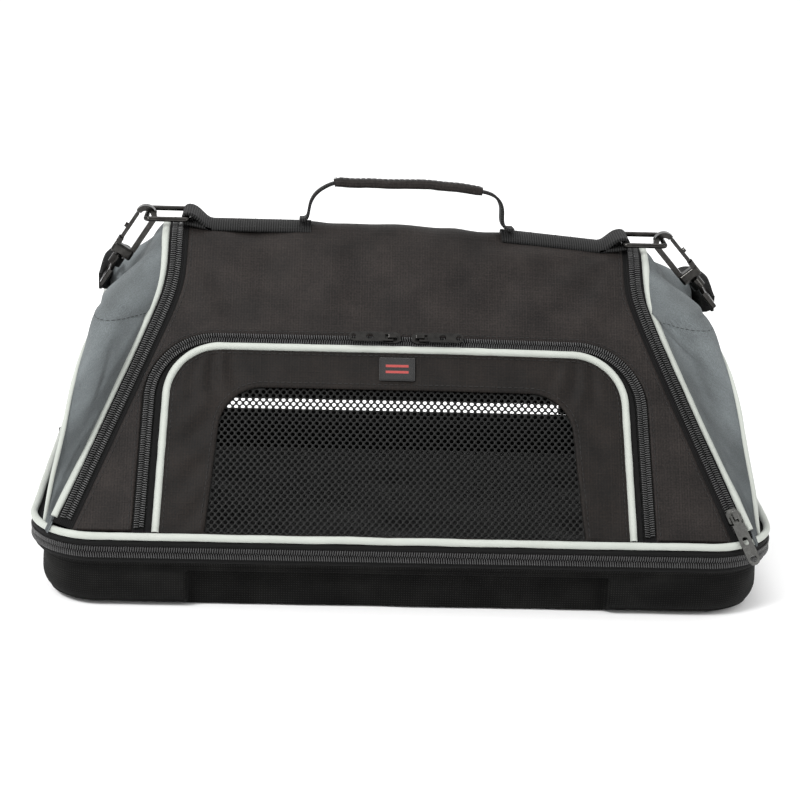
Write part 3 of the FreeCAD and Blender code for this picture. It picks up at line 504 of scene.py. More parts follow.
def plate(outline, holes, place, step=4.0, thick=CLOTH, top=0.0, relief=None, hem=1.3):
    """A cloth panel with holes: triangles over its outline, both faces, rolled edges."""
    loops = [outline, *holes]
    low, high = outline.min(0), outline.max(0)
    xs, ys = np.arange(low[0], high[0], step), np.arange(low[1], high[1], step * 0.87)
    gx, gy = np.meshgrid(xs, ys)
    gx = gx + (np.arange(len(ys)) % 2)[:, None] * step / 2
    grid = np.stack([gx.ravel(), gy.ravel()], 1)
    grid = grid[in_cloth(grid, loops)]
    grid = grid[edge_distance(grid, loops) > hem * 1.4 + step * 0.35]
    # rings just inside each edge carry the rolled hem
    rings, edges, start = [], [], 0
    for k, loop in enumerate(loops):
        ahead = unit(np.roll(loop, -1, 0) - np.roll(loop, 1, 0))
        turn = np.stack([-ahead[:, 1], ahead[:, 0]], 1)
        into = inside(loop + turn * 0.05, loop) == (k == 0)
        turn = turn * (1 if into.mean() > 0.5 else -1)
        rings += [loop + turn * hem * 0.45, loop + turn * hem * 1.3]
        edges += [(start + i, start + (i + 1) % len(loop)) for i in range(len(loop))]
        start += len(loop)
    rings = np.vstack(rings)
    rings = rings[in_cloth(rings, loops)]
    rings = rings[edge_distance(rings, loops) > hem * 0.35]
    points = np.vstack([*loops, rings, grid])
    verts, _, faces, *_ = delaunay_2d_cdt([Vector(p) for p in points], edges, [], 0, 1e-4)
    flat = np.array([(v.x, v.y) for v in verts])
    faces = np.array([f for f in faces if len(f) == 3])
    faces = faces[in_cloth(flat[faces].mean(1), loops)]
    a, b, c = (flat[faces[:, i]] for i in range(3))
    area = (b[:, 0] - a[:, 0]) * (c[:, 1] - a[:, 1]) - (b[:, 1] - a[:, 1]) * (c[:, 0] - a[:, 0])
    faces, area = faces[np.abs(area) > 1e-3], area[np.abs(area) > 1e-3]
    faces[area < 0] = faces[area < 0][:, ::-1]
    used, faces = np.unique(faces.ravel(), return_inverse=True)
    flat, faces = flat[used], faces.reshape(-1, 3)
    d = edge_distance(flat, loops)
    roll = thick * 0.5 * (1 - np.sqrt(np.clip(1 - (1 - np.clip(d / hem, 0, 1)) ** 2, 0, 1)))
    lift = relief(*flat.T, d) if relief else 0.0
    outer = place(*flat.T, top + lift - roll)
    inner = place(*flat.T, top + lift - thick + roll * 0.8)
    n = len(flat)
    sides = dict.fromkeys((f[i], f[(i + 1) % 3]) for f in faces.tolist() for i in range(3))
    walls = np.array([[b, a, a + n, b + n] for a, b in sides if (b, a) not in sides])
    uv = [flat[corners].reshape(-1, 2) for corners in (faces, faces[:, ::-1], walls % n)]
    return (np.vstack([outer, inner]), faces.tolist() + (faces[:, ::-1] + n).tolist() + walls.tolist(),
            np.vstack(uv))


def net(outline, place, out):
    """Airy knitted mesh: a staggered lattice of round holes over an outline."""
    w, h = NET_HALF
    low, high = outline.min(0), outline.max(0)
    centres = []
    for k, y in enumerate(np.arange(low[1] - h, high[1] + h, h)):
        x = np.arange(low[0] - 2 * w, high[0] + 2 * w, 2 * w) + (k % 2) * w
        centres.append(np.stack([x, np.full(len(x), y)], 1))
    centres = np.vstack(centres)
    near = edge_distance(centres, [outline])
    kept = inside(centres, outline) & (near > 0.6)
    centres, open_hole = centres[kept], near[kept] > 2.4
    # the cell round a hole is a six-sided figure that tiles with its neighbours
    rise = (w * w + h * h) / (2 * h)
    corners = np.array([(0, rise), (w, h - rise), (w, rise - h), (0, -rise), (-w, rise - h), (-w, h - rise)])
    ring = np.empty((12, 2))
    ring[0::2] = corners
    ring[1::2] = (corners + np.roll(corners, -1, 0)) / 2
    disc = unit(ring) * NET_HOLE
    depth = np.array([0.0, -0.1, -NET_THICK / 2, 0.1 - NET_THICK, -NET_THICK])[None, :, None]
    flat = np.stack([centres[:, None] + r for r in (ring, disc * 1.16, disc, disc * 1.16, ring)], 1)
    verts = place(flat[..., 0], flat[..., 1], out + depth)
    start = np.arange(len(centres))[:, None, None] * 60
    body = (quads(5, 12, False, True)[0][:, ::-1] + start)[open_hole].reshape(-1, 4)
    lids = (np.array([list(range(12)), list(range(59, 47, -1))]) + start)[~open_hole].reshape(-1, 12)
    uv = [flat.reshape(-1, 2)[faces].reshape(-1, 2) for faces in (body, lids)]
    return verts.reshape(-1, 3), body.tolist() + lids.tolist(), np.vstack(uv)


def net_piece(name, outline, place, out, body, stands_for):
    """Adds a net with its cells joined."""
    obj = piece(name, net(outline, place, out), body, "black_mesh", [stands_for])
    bm = bmesh.new()
    bm.from_mesh(obj.data)
    bmesh.ops.remove_doubles(bm, verts=bm.verts, dist=0.02 * MM)
    bmesh.ops.delete(bm, geom=[v for v in bm.verts if not v.link_faces], context="VERTS")
    bm.to_mesh(obj.data)
    bm.free()


# ------------------------------------------------------------------ materials
class Shader:
    """A material with a few shorthand nodes."""

    def __init__(self, name, **sockets):
        self.mat = bpy.data.materials.new(name)
        self.mat.use_nodes = True
        self.tree = self.mat.node_tree
        self.bsdf = self.tree.nodes["Principled BSDF"]
        self.set(self.bsdf, **sockets)

    def set(self, node, **sockets):
        for key, value in sockets.items():
            node.inputs[key.replace("_", " ")].default_value = value

    def node(self, kind, **settings):
        node = self.tree.nodes.new(kind)
        for key, value in settings.items():
            setattr(node, key, value)
        return node

    def link(self, source, target):
        self.tree.links.new(source, target)

    def uv(self):
        node = self.node("ShaderNodeUVMap", uv_map="cloth")
        split = self.node("ShaderNodeSeparateXYZ")
        self.link(node.outputs[0], split.inputs[0])
        return node.outputs[0], split.outputs[0], split.outputs[1]

    def place(self):
        return self.node("ShaderNodeTexCoord").outputs["Object"]

    def math(self, operation, *values):
        node = self.node("ShaderNodeMath", operation=operation)
        for value, socket in zip(values, node.inputs):
            if isinstance(value, (int, float)):
                socket.default_value = value
            else:
                self.link(value, socket)
        return node.outputs[0]

    def total(self, *terms):
        """The sum of values, each times its weight."""
        first, *rest = (self.math("MULTIPLY", value, weight) for value, weight in terms)
        for part in rest:
            first = self.math("ADD", first, part)
        return first

    def noise(self, vector, size_mm, detail=3.0, rough=0.55):
        node = self.node("ShaderNodeTexNoise")
        self.set(node, Scale=1000.0 / size_mm, Detail=detail, Roughness=rough)
        self.link(vector, node.inputs["Vector"])
        return node.outputs["Fac"]

    def line(self, value, pitch_mm, width_mm, soft_mm):
        """1 on lines that repeat every pitch, 0 between them."""
        d = self.math("PINGPONG", value, pitch_mm * MM / 2)
        return self.ramp(d, width_mm * MM / 2, (width_mm / 2 + soft_mm) * MM, 1.0, 0.0)

    def ribs(self, value, pitch_mm):
        return self.math("SINE", self.math("MULTIPLY", value, 2 * math.pi / (pitch_mm * MM)))

    def weave(self, u, v, pitch_mm):
        """A plain weave's over-and-under height."""
        return self.math("MULTIPLY", self.ribs(u, pitch_mm), self.ribs(v, pitch_mm))

    def ramp(self, value, low, high, to_low=0.0, to_high=1.0):
        node = self.node("ShaderNodeMapRange", interpolation_type="SMOOTHSTEP")
        self.set(node, From_Min=low, From_Max=high, To_Min=to_low, To_Max=to_high)
        self.link(value, node.inputs["Value"])
        return node.outputs["Result"]

    def colour(self, factor, dark, light):
        node = self.node("ShaderNodeMix", data_type="RGBA")
        node.inputs[6].default_value = (*dark, 1)
        node.inputs[7].default_value = (*light, 1)
        self.link(factor, node.inputs[0])
        self.link(node.outputs[2], self.bsdf.inputs["Base Color"])

    def rough(self, factor, low, high):
        self.link(self.ramp(factor, 0, 1, low, high), self.bsdf.inputs["Roughness"])

    def bump(self, height, depth_mm):
        node = self.node("ShaderNodeBump")
        self.set(node, Strength=1.0, Distance=depth_mm * MM)
        self.link(height, node.inputs["Height"])
        self.link(node.outputs[0], self.bsdf.inputs["Normal"])


def grey(level, red=0.0, blue=0.0):
    """A linear colour from a display grey level of 0 to 255, a little redder or bluer."""
    values = [level * (1 + red), level, level * (1 + blue)]
    return tuple(((v / 255 + 0.055) / 1.055) ** 2.4 for v in values)


def ripstop(name, dark, light):
    m = Shader(name, Roughness=0.6, Sheen_Weight=0.02, Sheen_Roughness=0.5, Specular_IOR_Level=0.13)
    vec, u, v = m.uv()
    grid = m.math("MAXIMUM", m.line(u, 4.7, 0.35, 0.25), m.line(v, 3.4, 0.35, 0.25))
    cloud, speck = m.noise(vec, 26.0, 4.0), m.noise(vec, 1.1, 2.0)
    warp = m.math("MULTIPLY", m.ramp(m.ribs(u, 1.7), -1, 1), m.noise(vec, 5.0, 2.0))
    tone = m.total((cloud, 0.4), (speck, 0.5), (warp, 0.12), (grid, 0.035))
    m.colour(m.ramp(tone, 0.3, 0.8), dark, light)
    m.bump(m.total((m.weave(u, v, 0.9), 0.25), (grid, 0.5), (m.noise(vec, 7.0), 0.8)), 0.16)
    m.rough(speck, 0.46, 0.64)
    return m.mat


def twill(name, dark, light):
    m = Shader(name, Sheen_Weight=0.05, Sheen_Roughness=0.45, Specular_IOR_Level=0.2)
    vec, u, v = m.uv()
    diagonal = m.ribs(m.math("ADD", u, v), 1.0)
    speck = m.noise(vec, 0.9, 2.0)
    m.colour(m.ramp(m.total((m.noise(vec, 40.0, 4.0), 0.6), (speck, 0.4)), 0.3, 0.75), dark, light)
    m.bump(m.total((diagonal, 0.35), (m.weave(u, v, 0.7), 0.3), (m.noise(vec, 9.0), 0.7)), 0.2)
    m.rough(speck, 0.66, 0.88)
    return m.mat


def webbing(name, dark, light):
    """Ribs across the strap: v runs along it."""
    m = Shader(name, Sheen_Weight=0.03, Sheen_Roughness=0.4, Specular_IOR_Level=0.1)
    vec, u, v = m.uv()
    rib, ply = m.ramp(m.ribs(v, 1.5), -1, 1), m.ramp(m.ribs(u, 1.15), -1, 1)
    speck = m.noise(vec, 0.7, 2.0)
    m.colour(m.ramp(m.total((rib, 0.5), (speck, 0.5)), 0.2, 0.9), dark, light)
    m.bump(m.total((rib, 0.8), (ply, 0.35)), 0.3)
    m.rough(speck, 0.55, 0.8)
    return m.mat


def cord_cover(name, dark, light):
    m = Shader(name, Sheen_Weight=0.2, Specular_IOR_Level=0.35)
    vec, u, v = m.uv()
    speck = m.noise(vec, 0.8, 2.0)
    m.colour(m.total((m.noise(vec, 14.0), 0.6), (speck, 0.4)), dark, light)
    m.bump(m.total((m.weave(u, v, 0.75), 0.4), (m.noise(vec, 4.0, 2.0), 0.6)), 0.14)
    m.rough(speck, 0.5, 0.72)
    return m.mat


def tape_cloth(name, dark, light):
    m = Shader(name, Sheen_Weight=0.02, Specular_IOR_Level=0.08)
    vec, u, v = m.uv()
    rib, fine = m.ramp(m.ribs(u, 1.1), -1, 1), m.ramp(m.ribs(v, 0.6), -1, 1)
    speck = m.noise(vec, 0.8, 2.0)
    m.colour(m.total((rib, 0.5), (speck, 0.5)), dark, light)
    m.bump(m.total((rib, 1.0), (fine, 0.5)), 0.12)
    m.rough(speck, 0.6, 0.82)
    return m.mat


def dotted(name, dark, light):
    """A coarse moulded cloth with a raised dot in each cell; the dots are painted lighter, partly as the
    cloth's pattern and partly as a painted highlight on their tops.
    """
    m = Shader(name, Sheen_Weight=0.01, Specular_IOR_Level=0.07)
    vec, u, v = m.uv()
    dots = m.math("MULTIPLY", *(m.ramp(m.ribs(way, 1.5), -0.2, 1) for way in (u, v)))
    speck = m.noise(vec, 1.2, 2.0)
    # lighter dots: partly the cloth's dot pattern, partly a painted highlight on the raised dots
    m.colour(m.ramp(m.total((m.noise(vec, 30.0, 4.0), 0.5), (dots, 0.35)), 0.15, 0.75), dark, light)
    m.bump(m.total((dots, 1.0), (speck, 0.35)), 0.25)
    m.rough(speck, 0.6, 0.85)
    return m.mat


def plush(name, dark, light):
    m = Shader(name, Sheen_Weight=0.25, Sheen_Roughness=0.35, Specular_IOR_Level=0.1)
    vec = m.uv()[0]
    tuft = m.noise(vec, 1.6, 5.0, 0.7)
    m.colour(m.total((m.noise(vec, 25.0), 0.5), (tuft, 0.5)), dark, light)
    m.bump(tuft, 0.6)
    m.rough(tuft, 0.85, 1.0)
    return m.mat


def striped_patch(name, dark, light):
    """A woven label with two plain stripes and no writing."""
    m = Shader(name, Sheen_Weight=0.2, Specular_IOR_Level=0.3)
    vec, u, v = m.uv()
    middle = m.math("ABSOLUTE", m.math("SUBTRACT", v, LABEL_S * MM))
    u = m.math("SUBTRACT", u, DOOR_X * MM)
    stripe = m.math("MULTIPLY", m.ramp(middle, 1.0 * MM, 1.3 * MM), m.ramp(middle, 2.9 * MM, 2.6 * MM))
    stripe = m.math("MULTIPLY", stripe, m.ramp(m.math("ABSOLUTE", u), 7.2 * MM, 6.9 * MM))
    m.colour(stripe, dark, light)
    m.bump(m.math("ADD", m.weave(u, v, 0.55), stripe), 0.12)
    m.rough(m.noise(vec, 0.8), 0.6, 0.85)
    return m.mat


def solid(name, dark, light, low, high, size=3.0, depth=0.05, metal=0.0, level=0.5):
    """Moulded or metal: mottled gloss and a fine grain from the object's own coordinates."""
    m = Shader(name, Metallic=metal, Specular_IOR_Level=level)
    where = m.place()
    cloud, fine = m.noise(where, size, 4.0), m.noise(where, size * 0.12)
    m.colour(cloud, dark, light)
    m.rough(m.total((cloud, 0.5), (fine, 0.5)), low, high)
    m.bump(fine, depth)
    return m.mat


MATS = {
    "black_ripstop": ripstop("cloth_ripstop", grey(12, 0.2, -0.06), grey(41, 0.13, -0.06)),
    "grey_fabric": twill("cloth_grey", grey(76, -0.05, 0.015), grey(121, -0.05, 0.015)),
    "pale_piping": cord_cover("cloth_piping", (0.31, 0.33, 0.30), (0.43, 0.45, 0.415)),
    "black_webbing": webbing("cloth_webbing", grey(10), grey(44)),
    "black_mesh": solid("knitted_mesh", grey(8), grey(20, -0.02, -0.04), 0.34, 0.55, 5.0, 0.03, level=0.16),
    "zip_tape": tape_cloth("cloth_zip_tape", grey(8), grey(24)),
    "zip_coil": solid("nylon_coil", grey(36), grey(70), 0.18, 0.32, 6.0, 0.02, level=0.4),
    "tray_fabric": dotted("cloth_tray", grey(3), grey(38, 0.01, -0.04)),
    # the plush is painted very dark: painted shade of the closed box's inside, seen through the nets
    "cushion_plush": plush("cloth_plush", grey(14), grey(27)),
    "board": solid("board_grey", grey(60), grey(74), 0.6, 0.8, 20.0, 0.1),
    "patch": striped_patch("woven_patch", grey(28), (0.36, 0.05, 0.045)),
    "gunmetal": solid("metal_gunmetal", (0.01, 0.0095, 0.009), (0.06, 0.058, 0.055), 0.1, 0.24,
                      3.0, 0.03, 1.0),
    "strap_plastic": solid("moulded_plastic", grey(18), grey(32), 0.3, 0.5, 4.0, 0.04),
}
DOOR_CLOTH = ripstop("cloth_door", grey(6, 0.2, -0.1), grey(29, 0.2, -0.12))
THREAD = solid("thread_dark", grey(22), grey(36), 0.5, 0.7, 2.0, 0.05, level=0.3)
PALE_METAL = solid("metal_grey", (0.06, 0.06, 0.058), (0.2, 0.2, 0.19), 0.16, 0.34, 3.0, 0.03, 1.0)
DARK_METAL = solid("metal_blacked", (0.02, 0.02, 0.02), (0.055, 0.053, 0.05), 0.2, 0.36, 4.0, 0.03, 1.0)


# ----------------------------------------------------------- camera and light
def add_object(name, data):
    obj = bpy.data.objects.new(name, data)
    bpy.context.collection.objects.link(obj)
    return obj


def add_camera():
    azimuth, elevation, roll = math.radians(-2.14), math.radians(18.5), math.radians(1.91)
    back = Vector((math.sin(azimuth) * math.cos(elevation), -math.cos(azimuth) * math.cos(elevation),
                   math.sin(elevation)))
    right = Vector((math.cos(azimuth), math.sin(azimuth), 0))
    up = back.cross(right)
    side = right * math.cos(roll) + up * math.sin(roll)
    top = up * math.cos(roll) - right * math.sin(roll)
    place = Vector((-0.00034, 0, 0.09363)) + back * 1.4365
    data = bpy.data.cameras.new("camera")
    data.lens, data.sensor_width = 99.0, 36.0
    data.clip_end = 30.0
    obj = add_object("camera", data)
    obj.matrix_world = Matrix.Translation(place) @ Matrix((side, top, back)).transposed().to_4x4()
    bpy.context.scene.camera = obj


def add_light(name, place, target, size, power):
    data = bpy.data.lights.new(name, "AREA")
    data.shape = "RECTANGLE"
    data.size, data.size_y = size
    data.energy = power
    obj = add_object(name, data)
    obj.location = place
    obj.rotation_euler = (Vector(target) - Vector(place)).to_track_quat("-Z", "Y").to_euler()


def add_stage():
    mesh = bpy.data.meshes.new("floor")
    mesh.from_pydata([(-8, -8, 0), (8, -8, 0), (8, 8, 0), (-8, 8, 0)], [], [(0, 1, 2, 3)])
    floor = add_object("floor", mesh)
    m = Shader("floor_white", Roughness=0.9, Specular_IOR_Level=0.1)
    m.colour(m.noise(m.place(), 400.0), (0.93, 0.93, 0.93), (0.95, 0.95, 0.95))
    mesh.materials.append(m.mat)
    world = bpy.data.worlds.new("studio")
    world.use_nodes = True
    m.set(world.node_tree.nodes["Background"], Color=(1, 1, 1, 1), Strength=1.0)
    scene = bpy.context.scene
    scene.world = world
    scene.view_settings.view_transform = "Standard"
    add_light("key", (-0.9, -1.0, 1.3), (0, 0, 0.1), (0.5, 0.5), 25.0)
    add_light("fill", (1.3, -0.8, 0.8), (0, 0, 0.1), (0.6, 0.6), 5.0)
    add_light("top", (0, 0.3, 1.8), (0, 0, 0.1), (1.2, 0.8), 12.0)


add_camera()
add_stage()


# ------------------------------------------------------------- shoulder strap
STRAP_RIGHT = [(200.1, 4, 162.7), (199.3, 22, 162.4), (194, 44, 163.5), (188.5, 67, 158),
               (184.5, 88, 145), (184, 104, 120), (189, 118, 94), (188, 131, 68), (183, 144.5, 47),
               (176, 152, 27), (162, 157, 10), (142, 160, 3.4), (108, 162, 2.6), (64, 160, 2.6),
               (20, 162.5, 2.6)]
STRAP_LEFT = [(-27, 161, 2.6), (-73, 163, 2.6), (-111, 160, 2.6), (-143, 162, 3.2), (-163, 158, 9),
              (-177, 152, 26), (-184, 145, 46), (-189, 132, 67), (-189, 118, 94), (-183, 105, 122),
              (-180, 88, 147), (-182, 69, 163), (-188, 44, 170), (-193.6, 22, 168.7),
              (-194.1, 4, 168.4)]


def nurbs_line(points):
    """The points of a NURBS curve, in mm, as Blender draws it."""
    curve = bpy.data.curves.new("route", "CURVE")
    curve.dimensions = "3D"
    spline = curve.splines.new("NURBS")
    spline.points.add(len(points) - 1)
    for point, co in zip(spline.points, points):
        point.co = (*(Vector(co) * MM), 1)
    spline.order_u = 3
    spline.use_endpoint_u = True
    spline.resolution_u = 24
    obj = add_object("route", curve)
    bpy.context.view_layer.update()
    mesh = bpy.data.meshes.new_from_object(obj.evaluated_get(bpy.context.evaluated_depsgraph_get()))
    line = np.array([tuple(v.co) for v in mesh.vertices]) / MM
    bpy.data.objects.remove(obj)
    bpy.data.curves.remove(curve)
    bpy.data.meshes.remove(mesh)
    return line


def build_strap():
    path = resample(nurbs_line(STRAP_RIGHT + STRAP_LEFT), 2.0)
    along = tangents(path)
    # the face that looks away from the bag, or up where the strap lies on the floor
    from_bag = path - [0, 0, 60]
    away = unit(from_bag - np.clip(from_bag, [-120, -90, -200], [120, 90, 200]))
    away[:, 2] *= 0.2
    floor = smooth(path[:, 2], 34, 8)[:, None]
    out = unit(away * (1 - floor) + np.array([0, 0, 1.0]) * floor)
    for _ in range(12):
        out[1:-1] = unit(out[:-2] + 2 * out[1:-1] + out[2:])
    across = unit(np.cross(along, out))
    out = unit(np.cross(across, along))
    centre = path.copy()
    centre[:, 2] -= floor[:, 0] * 1.4
    at = lengths(path)
    centre += out * (0.4 * (1 + np.sin(at / 31.0)) * (1 - floor[:, 0]))[:, None]
    narrow = 0.42 + 0.58 * smooth(np.minimum(at, at[-1] - at), 0, 26)
    section = flat_section(-STRAP_W / 2, STRAP_W / 2, -STRAP_T / 2, STRAP_T / 2, edge=0.5)
    shape = sweep((centre, along, across, out), widened(section, narrow))
    obj = piece("strap_web", shape, None, "black_webbing", ["shoulder_strap"])
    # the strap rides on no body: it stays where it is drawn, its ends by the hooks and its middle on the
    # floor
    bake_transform(obj)


build_strap()


# ----------------------------------------------------------------------- tray
def build_tray():
    line, _, _, out = rim_path(0.0, 1.3, arc=1.0)
    x, y = line[:, 0], np.abs(line[:, 1])
    notch = smooth(np.abs(x - STEP_MIDDLE), STEP_HALF + 1.3, STEP_HALF - 1.3) * (y > HALF_DEPTH - 30)

    def ring(inset, z, deep=0.0, high=25.0):
        cut = notch * smooth(z, high + 1.5, high - 1.5) * 9.0
        wide = np.where(cut > 0, np.maximum(inset, 5.0 + cut + deep), inset)
        p = line - out * (wide + 0.35 * waves(x, y + z * 2, 45, 5))[:, None]
        p[:, 2] = z
        return p

    # inside floor, inside wall, lip, outside wall, outside floor
    walls = [(inset, 4.2) for inset in (60, 30, 20, 19)]
    walls += [(9.0, z, 4.0, 29.0) for z in np.linspace(4.0, TRAY_TOP - 1.0, 12)]
    walls += [(inset, TRAY_TOP + up) for inset, up in ((8.0, 0.0), (5.0, 0.2), (2.2, 0.0), (1.6, -0.8),
                                                       (1.8, -2.6), (3.0, -3.1), (4.8, -3.6))]
    walls += [(5.0, z) for z in (29.5, 28, 27, 26.5, 26, 25.5, 25, 24.5, 24, 23.5, 23, 22, 20, 17.5, 15)]
    walls += [(20 - 15 * math.cos(a), 15 - 15 * math.sin(a)) for a in np.radians(np.linspace(8, 90, 12))]
    walls += [(inset, 0.0) for inset in (24, 34, 60)]
    rows = np.array([ring(*wall) for wall in walls])
    shape = tube(rows, lengths(line, True), lengths(rows[:, 0]), (rows[0, ::-1, :2], rows[-1, :, :2]))
    piece("tray_body", shape, "tray", "tray_fabric", ["tray_shell"])


def build_rim():
    # lower tape and teeth stay with the tray; upper ones lift with the cover
    z0 = TRAY_TOP - 1.0
    tape = sweep(rim_path(z0), flat_section(0, ZIP_Z - 0.25 - z0, -1.6, 0.0, 3, 0.15), True)
    piece("tray_tape", tape, "tray", "zip_tape", ["tray_zip_tape"])
    points, along, across, out = rim_path(ZIP_Z, cut=TRAY_ZIP_END)
    path = points + out * 0.6, along, across, out
    piece("tray_teeth", teeth(path, [(-3.5, 0.05, 0.3)], 1.7), "tray", "zip_coil", ["tray_zip_coil"])
    high = sweep(rim_path(ZIP_Z + 0.25, cut=-VENT_HALF),
                 [(0, -1.6), (5.4, -1.6), (5.4, -10), (7.0, -10), (7.1, -0.6), (6.9, 0.5),
                  (6.2, 1.1), (5.0, 1.3), (3.6, 1.1), (1.8, 0.5), (0, 0.2)])
    piece("cover_tape", high, "cover", "zip_tape", ["cover_base_band"])
    piece("cover_teeth", teeth(path, [(3.5, 0.05, 0.8)], 1.7), "cover", "zip_coil", ["cover_zip_coil"])
    cord("base_cord", rim_path(PIPING_Z, step=2.0), PIPING_R, [(0.035, 23, 11), (0.02, 7, 12)], 16,
         "cover", "base_piping", sway=(0.25, 0.125, 60, 13), closed=True)


def build_cushion():
    """A stuffed pad: two crowned faces that meet in a seam halfway up, sewn down at six points."""
    low, high = node_box("base_cushion")
    half_x, half_y, corner, edge = (high[0] - low[0]) / 2, (high[1] - low[1]) / 2, 24.0, 17.0
    middle, seam_z = (low + high) / 2, low[2] + 0.45 * (high[2] - low[2])

    def spread(count, bunch):
        """Numbers from -1 to 1 that crowd together at both ends."""
        t = np.linspace(-1, 1, count)
        return np.sin(t * math.pi / 2) * bunch + t * (1 - bunch)

    n, m = 150, 90
    x, y = np.meshgrid(spread(n, 0.35) * half_x, spread(m, 0.45) * half_y, indexing="ij")
    inward = np.minimum(half_x - np.abs(x), half_y - np.abs(y))
    # squares in the corners turn into quarter discs
    dx, dy = np.abs(x) - (half_x - corner), np.abs(y) - (half_y - corner)
    turn = (dx > 0) & (dy > 0)
    pull = np.where(turn, np.maximum(dx, dy) / np.maximum(np.hypot(dx, dy), 1e-6), 1.0)
    x = np.where(turn, np.sign(x) * (half_x - corner + dx * pull), x)
    y = np.where(turn, np.sign(y) * (half_y - corner + dy * pull), y)
    swell = np.sqrt(1 - (1 - np.clip(inward / edge, 0, 1)) ** 2)
    crown = 0.86 + 0.14 * smooth(inward, edge, 90)
    tuft = sum(bell(np.hypot(x - a * half_x, y - b * half_y), 15.0)
               for a in (-0.55, 0.0, 0.55) for b in (-0.36, 0.36))
    pucker = 0.35 * waves(x * 1.2, y * 1.2, 12, 22) * np.exp(-inward / 12.0) * smooth(inward, 0, 4)
    slack = 0.5 * waves(x, y, 60, 21) * smooth(inward, 4, 30)
    top = seam_z + (high[2] - 0.8 - seam_z) * swell * crown * (1 - 0.45 * tuft) + pucker + slack
    bottom = seam_z - (seam_z - low[2]) * np.sqrt(1 - (1 - np.clip(inward / 6.0, 0, 1)) ** 2)
    upper, lower = (np.stack([middle[0] + x, middle[1] + y, z], -1).reshape(-1, 3) for z in (top, bottom))
    # both sheets share their outline
    inner = np.ones(n * m, bool)
    inner[border(n, m)] = False
    below = np.arange(n * m)
    below[inner] = n * m + np.arange(int(inner.sum()))
    faces = quads(n, m)[0]
    verts = np.vstack([upper, lower[inner]])
    everything = np.vstack([faces, below[faces][:, ::-1]])
    shape = verts, everything.tolist(), verts[everything].reshape(-1, 3)[:, :2]
    piece("cushion_pad", shape, "tray", "cushion_plush", ["base_cushion"])


build_tray()
build_rim()
build_cushion()


# ---------------------------------------------------------------- cover cloth
def roof_relief(x, s, d):
    """Slack in the cloth: broad sag between seams and short puckers beside them."""
    broad = 0.9 * waves(x, s, 95, 31) + 0.5 * waves(x, s, 34, 32)
    # long shallow folds fan out from the ends of the ridge
    for side in (-1, 1):
        u, w = EDGE_TOP_X - x * side, np.minimum(s, 2 * CREST - s) - CREST
        angle, reach = np.arctan2(-w, np.maximum(u, 1.0)), np.hypot(u, w)
        broad = broad + 0.8 * np.cos(angle * 17.0 + side) * bell(reach - 60.0, 45.0)
    pucker = 0.35 * waves(x * 1.2, s * 1.2, 9, 33) * np.exp(-d / 9.0)
    return (broad * smooth(d, 0, 22) * 0.9 - 0.35 + pucker) * smooth(d, 0, 5)


def build_roof():
    right, left = (side_line(sign, SIDE_ZIP_W, 0.0, 2 * CREST, 1.0) for sign in (1, -1))
    outline = dense(np.vstack([right, left[::-1]]), 3.0, True)
    # the door's opening runs out through the foot of the panel
    opening = door_line(OPENING, 0.0)
    x, s = outline.T
    keep = outline[~((opening[0, 0] <= x) & (x <= opening[-1, 0]) & (s < 1.0))]
    corner = np.argmin(np.hypot(keep[:, 0] - right[0, 0], keep[:, 1]))
    outline = np.vstack([np.roll(keep, -corner, 0), opening])
    outline = dense(outline[np.diff(lengths(outline, True)) > 0.05], 3.0, True)
    shape = plate(outline, [back_window()], cover, 4.2, relief=roof_relief)
    piece("roof_cloth", shape, "cover", "black_ripstop", ["front_panel", "back_panel"])
    net_piece("back_net", back_window(4.0), cover, -2.5, "cover", "back_mesh")
    rows = [sewn(back_window(3.0), 0.12, True)]
    rows += [sewn(side_line(sign, SIDE_ZIP_W + 2.6, 2, 2 * CREST - 2)) for sign in (1, -1)]
    rows.append(sewn(door_line([out + 2.4 for out in OPENING], 3.0)))
    piece("roof_stitches", merge(rows), "cover", "black_ripstop", mat=THREAD)


def build_side_zips():
    for side, sign in SIGN.items():
        path = on_cover(side_line(sign, SIDE_ZIP_W / 2 + 0.4, -1.0, 2 * CREST + 1.0, 1.0), 2.0)
        at = lengths(path[0])[:, None]
        half = (SIDE_ZIP_W - 0.4) / 2
        across = np.linspace(half, -half, 15)
        # lengthwise folds, strongest near the ridge
        fold = 0.6 * np.cos(across * 1.75) * bell(at - at[-1] / 2, 85.0)
        height = -0.55 + fold + 0.15 * waves(at, across * 2, 26, 41)
        upper = np.stack([across + 0 * height, height], -1)
        lower = np.tile([(-half, -CLOTH), (half, -CLOTH)], (len(at), 1, 1))
        piece(f"side_tape_{side}", sweep(path, np.concatenate([upper, lower], 1)), "cover", "zip_tape",
              [f"side_zip_tape_{side}"])
        line = on_cover(side_line(sign, SIDE_COIL_IN, 9.0, 2 * CREST - 9.0, 1.0), 1.0)
        piece(f"side_teeth_{side}", teeth(line, [(-3.4, -0.05, 0.3), (3.4, 0.05, 0.8)], 1.9), "cover",
              "zip_coil", [f"side_zip_coil_{side}"])
        line = on_cover(side_line(sign, 0.0, -0.5, 2 * CREST + 0.5, 1.0), 2.0, -0.6)
        cord(f"edge_cord_{side}", line, PIPING_R, [(0.04, 21, 51 + sign), (0.02, 6, 61 + sign)], 14,
             "cover", f"edge_piping_{side}", sway=(0.3, 0, 70, 71 + sign))


build_roof()
build_side_zips()


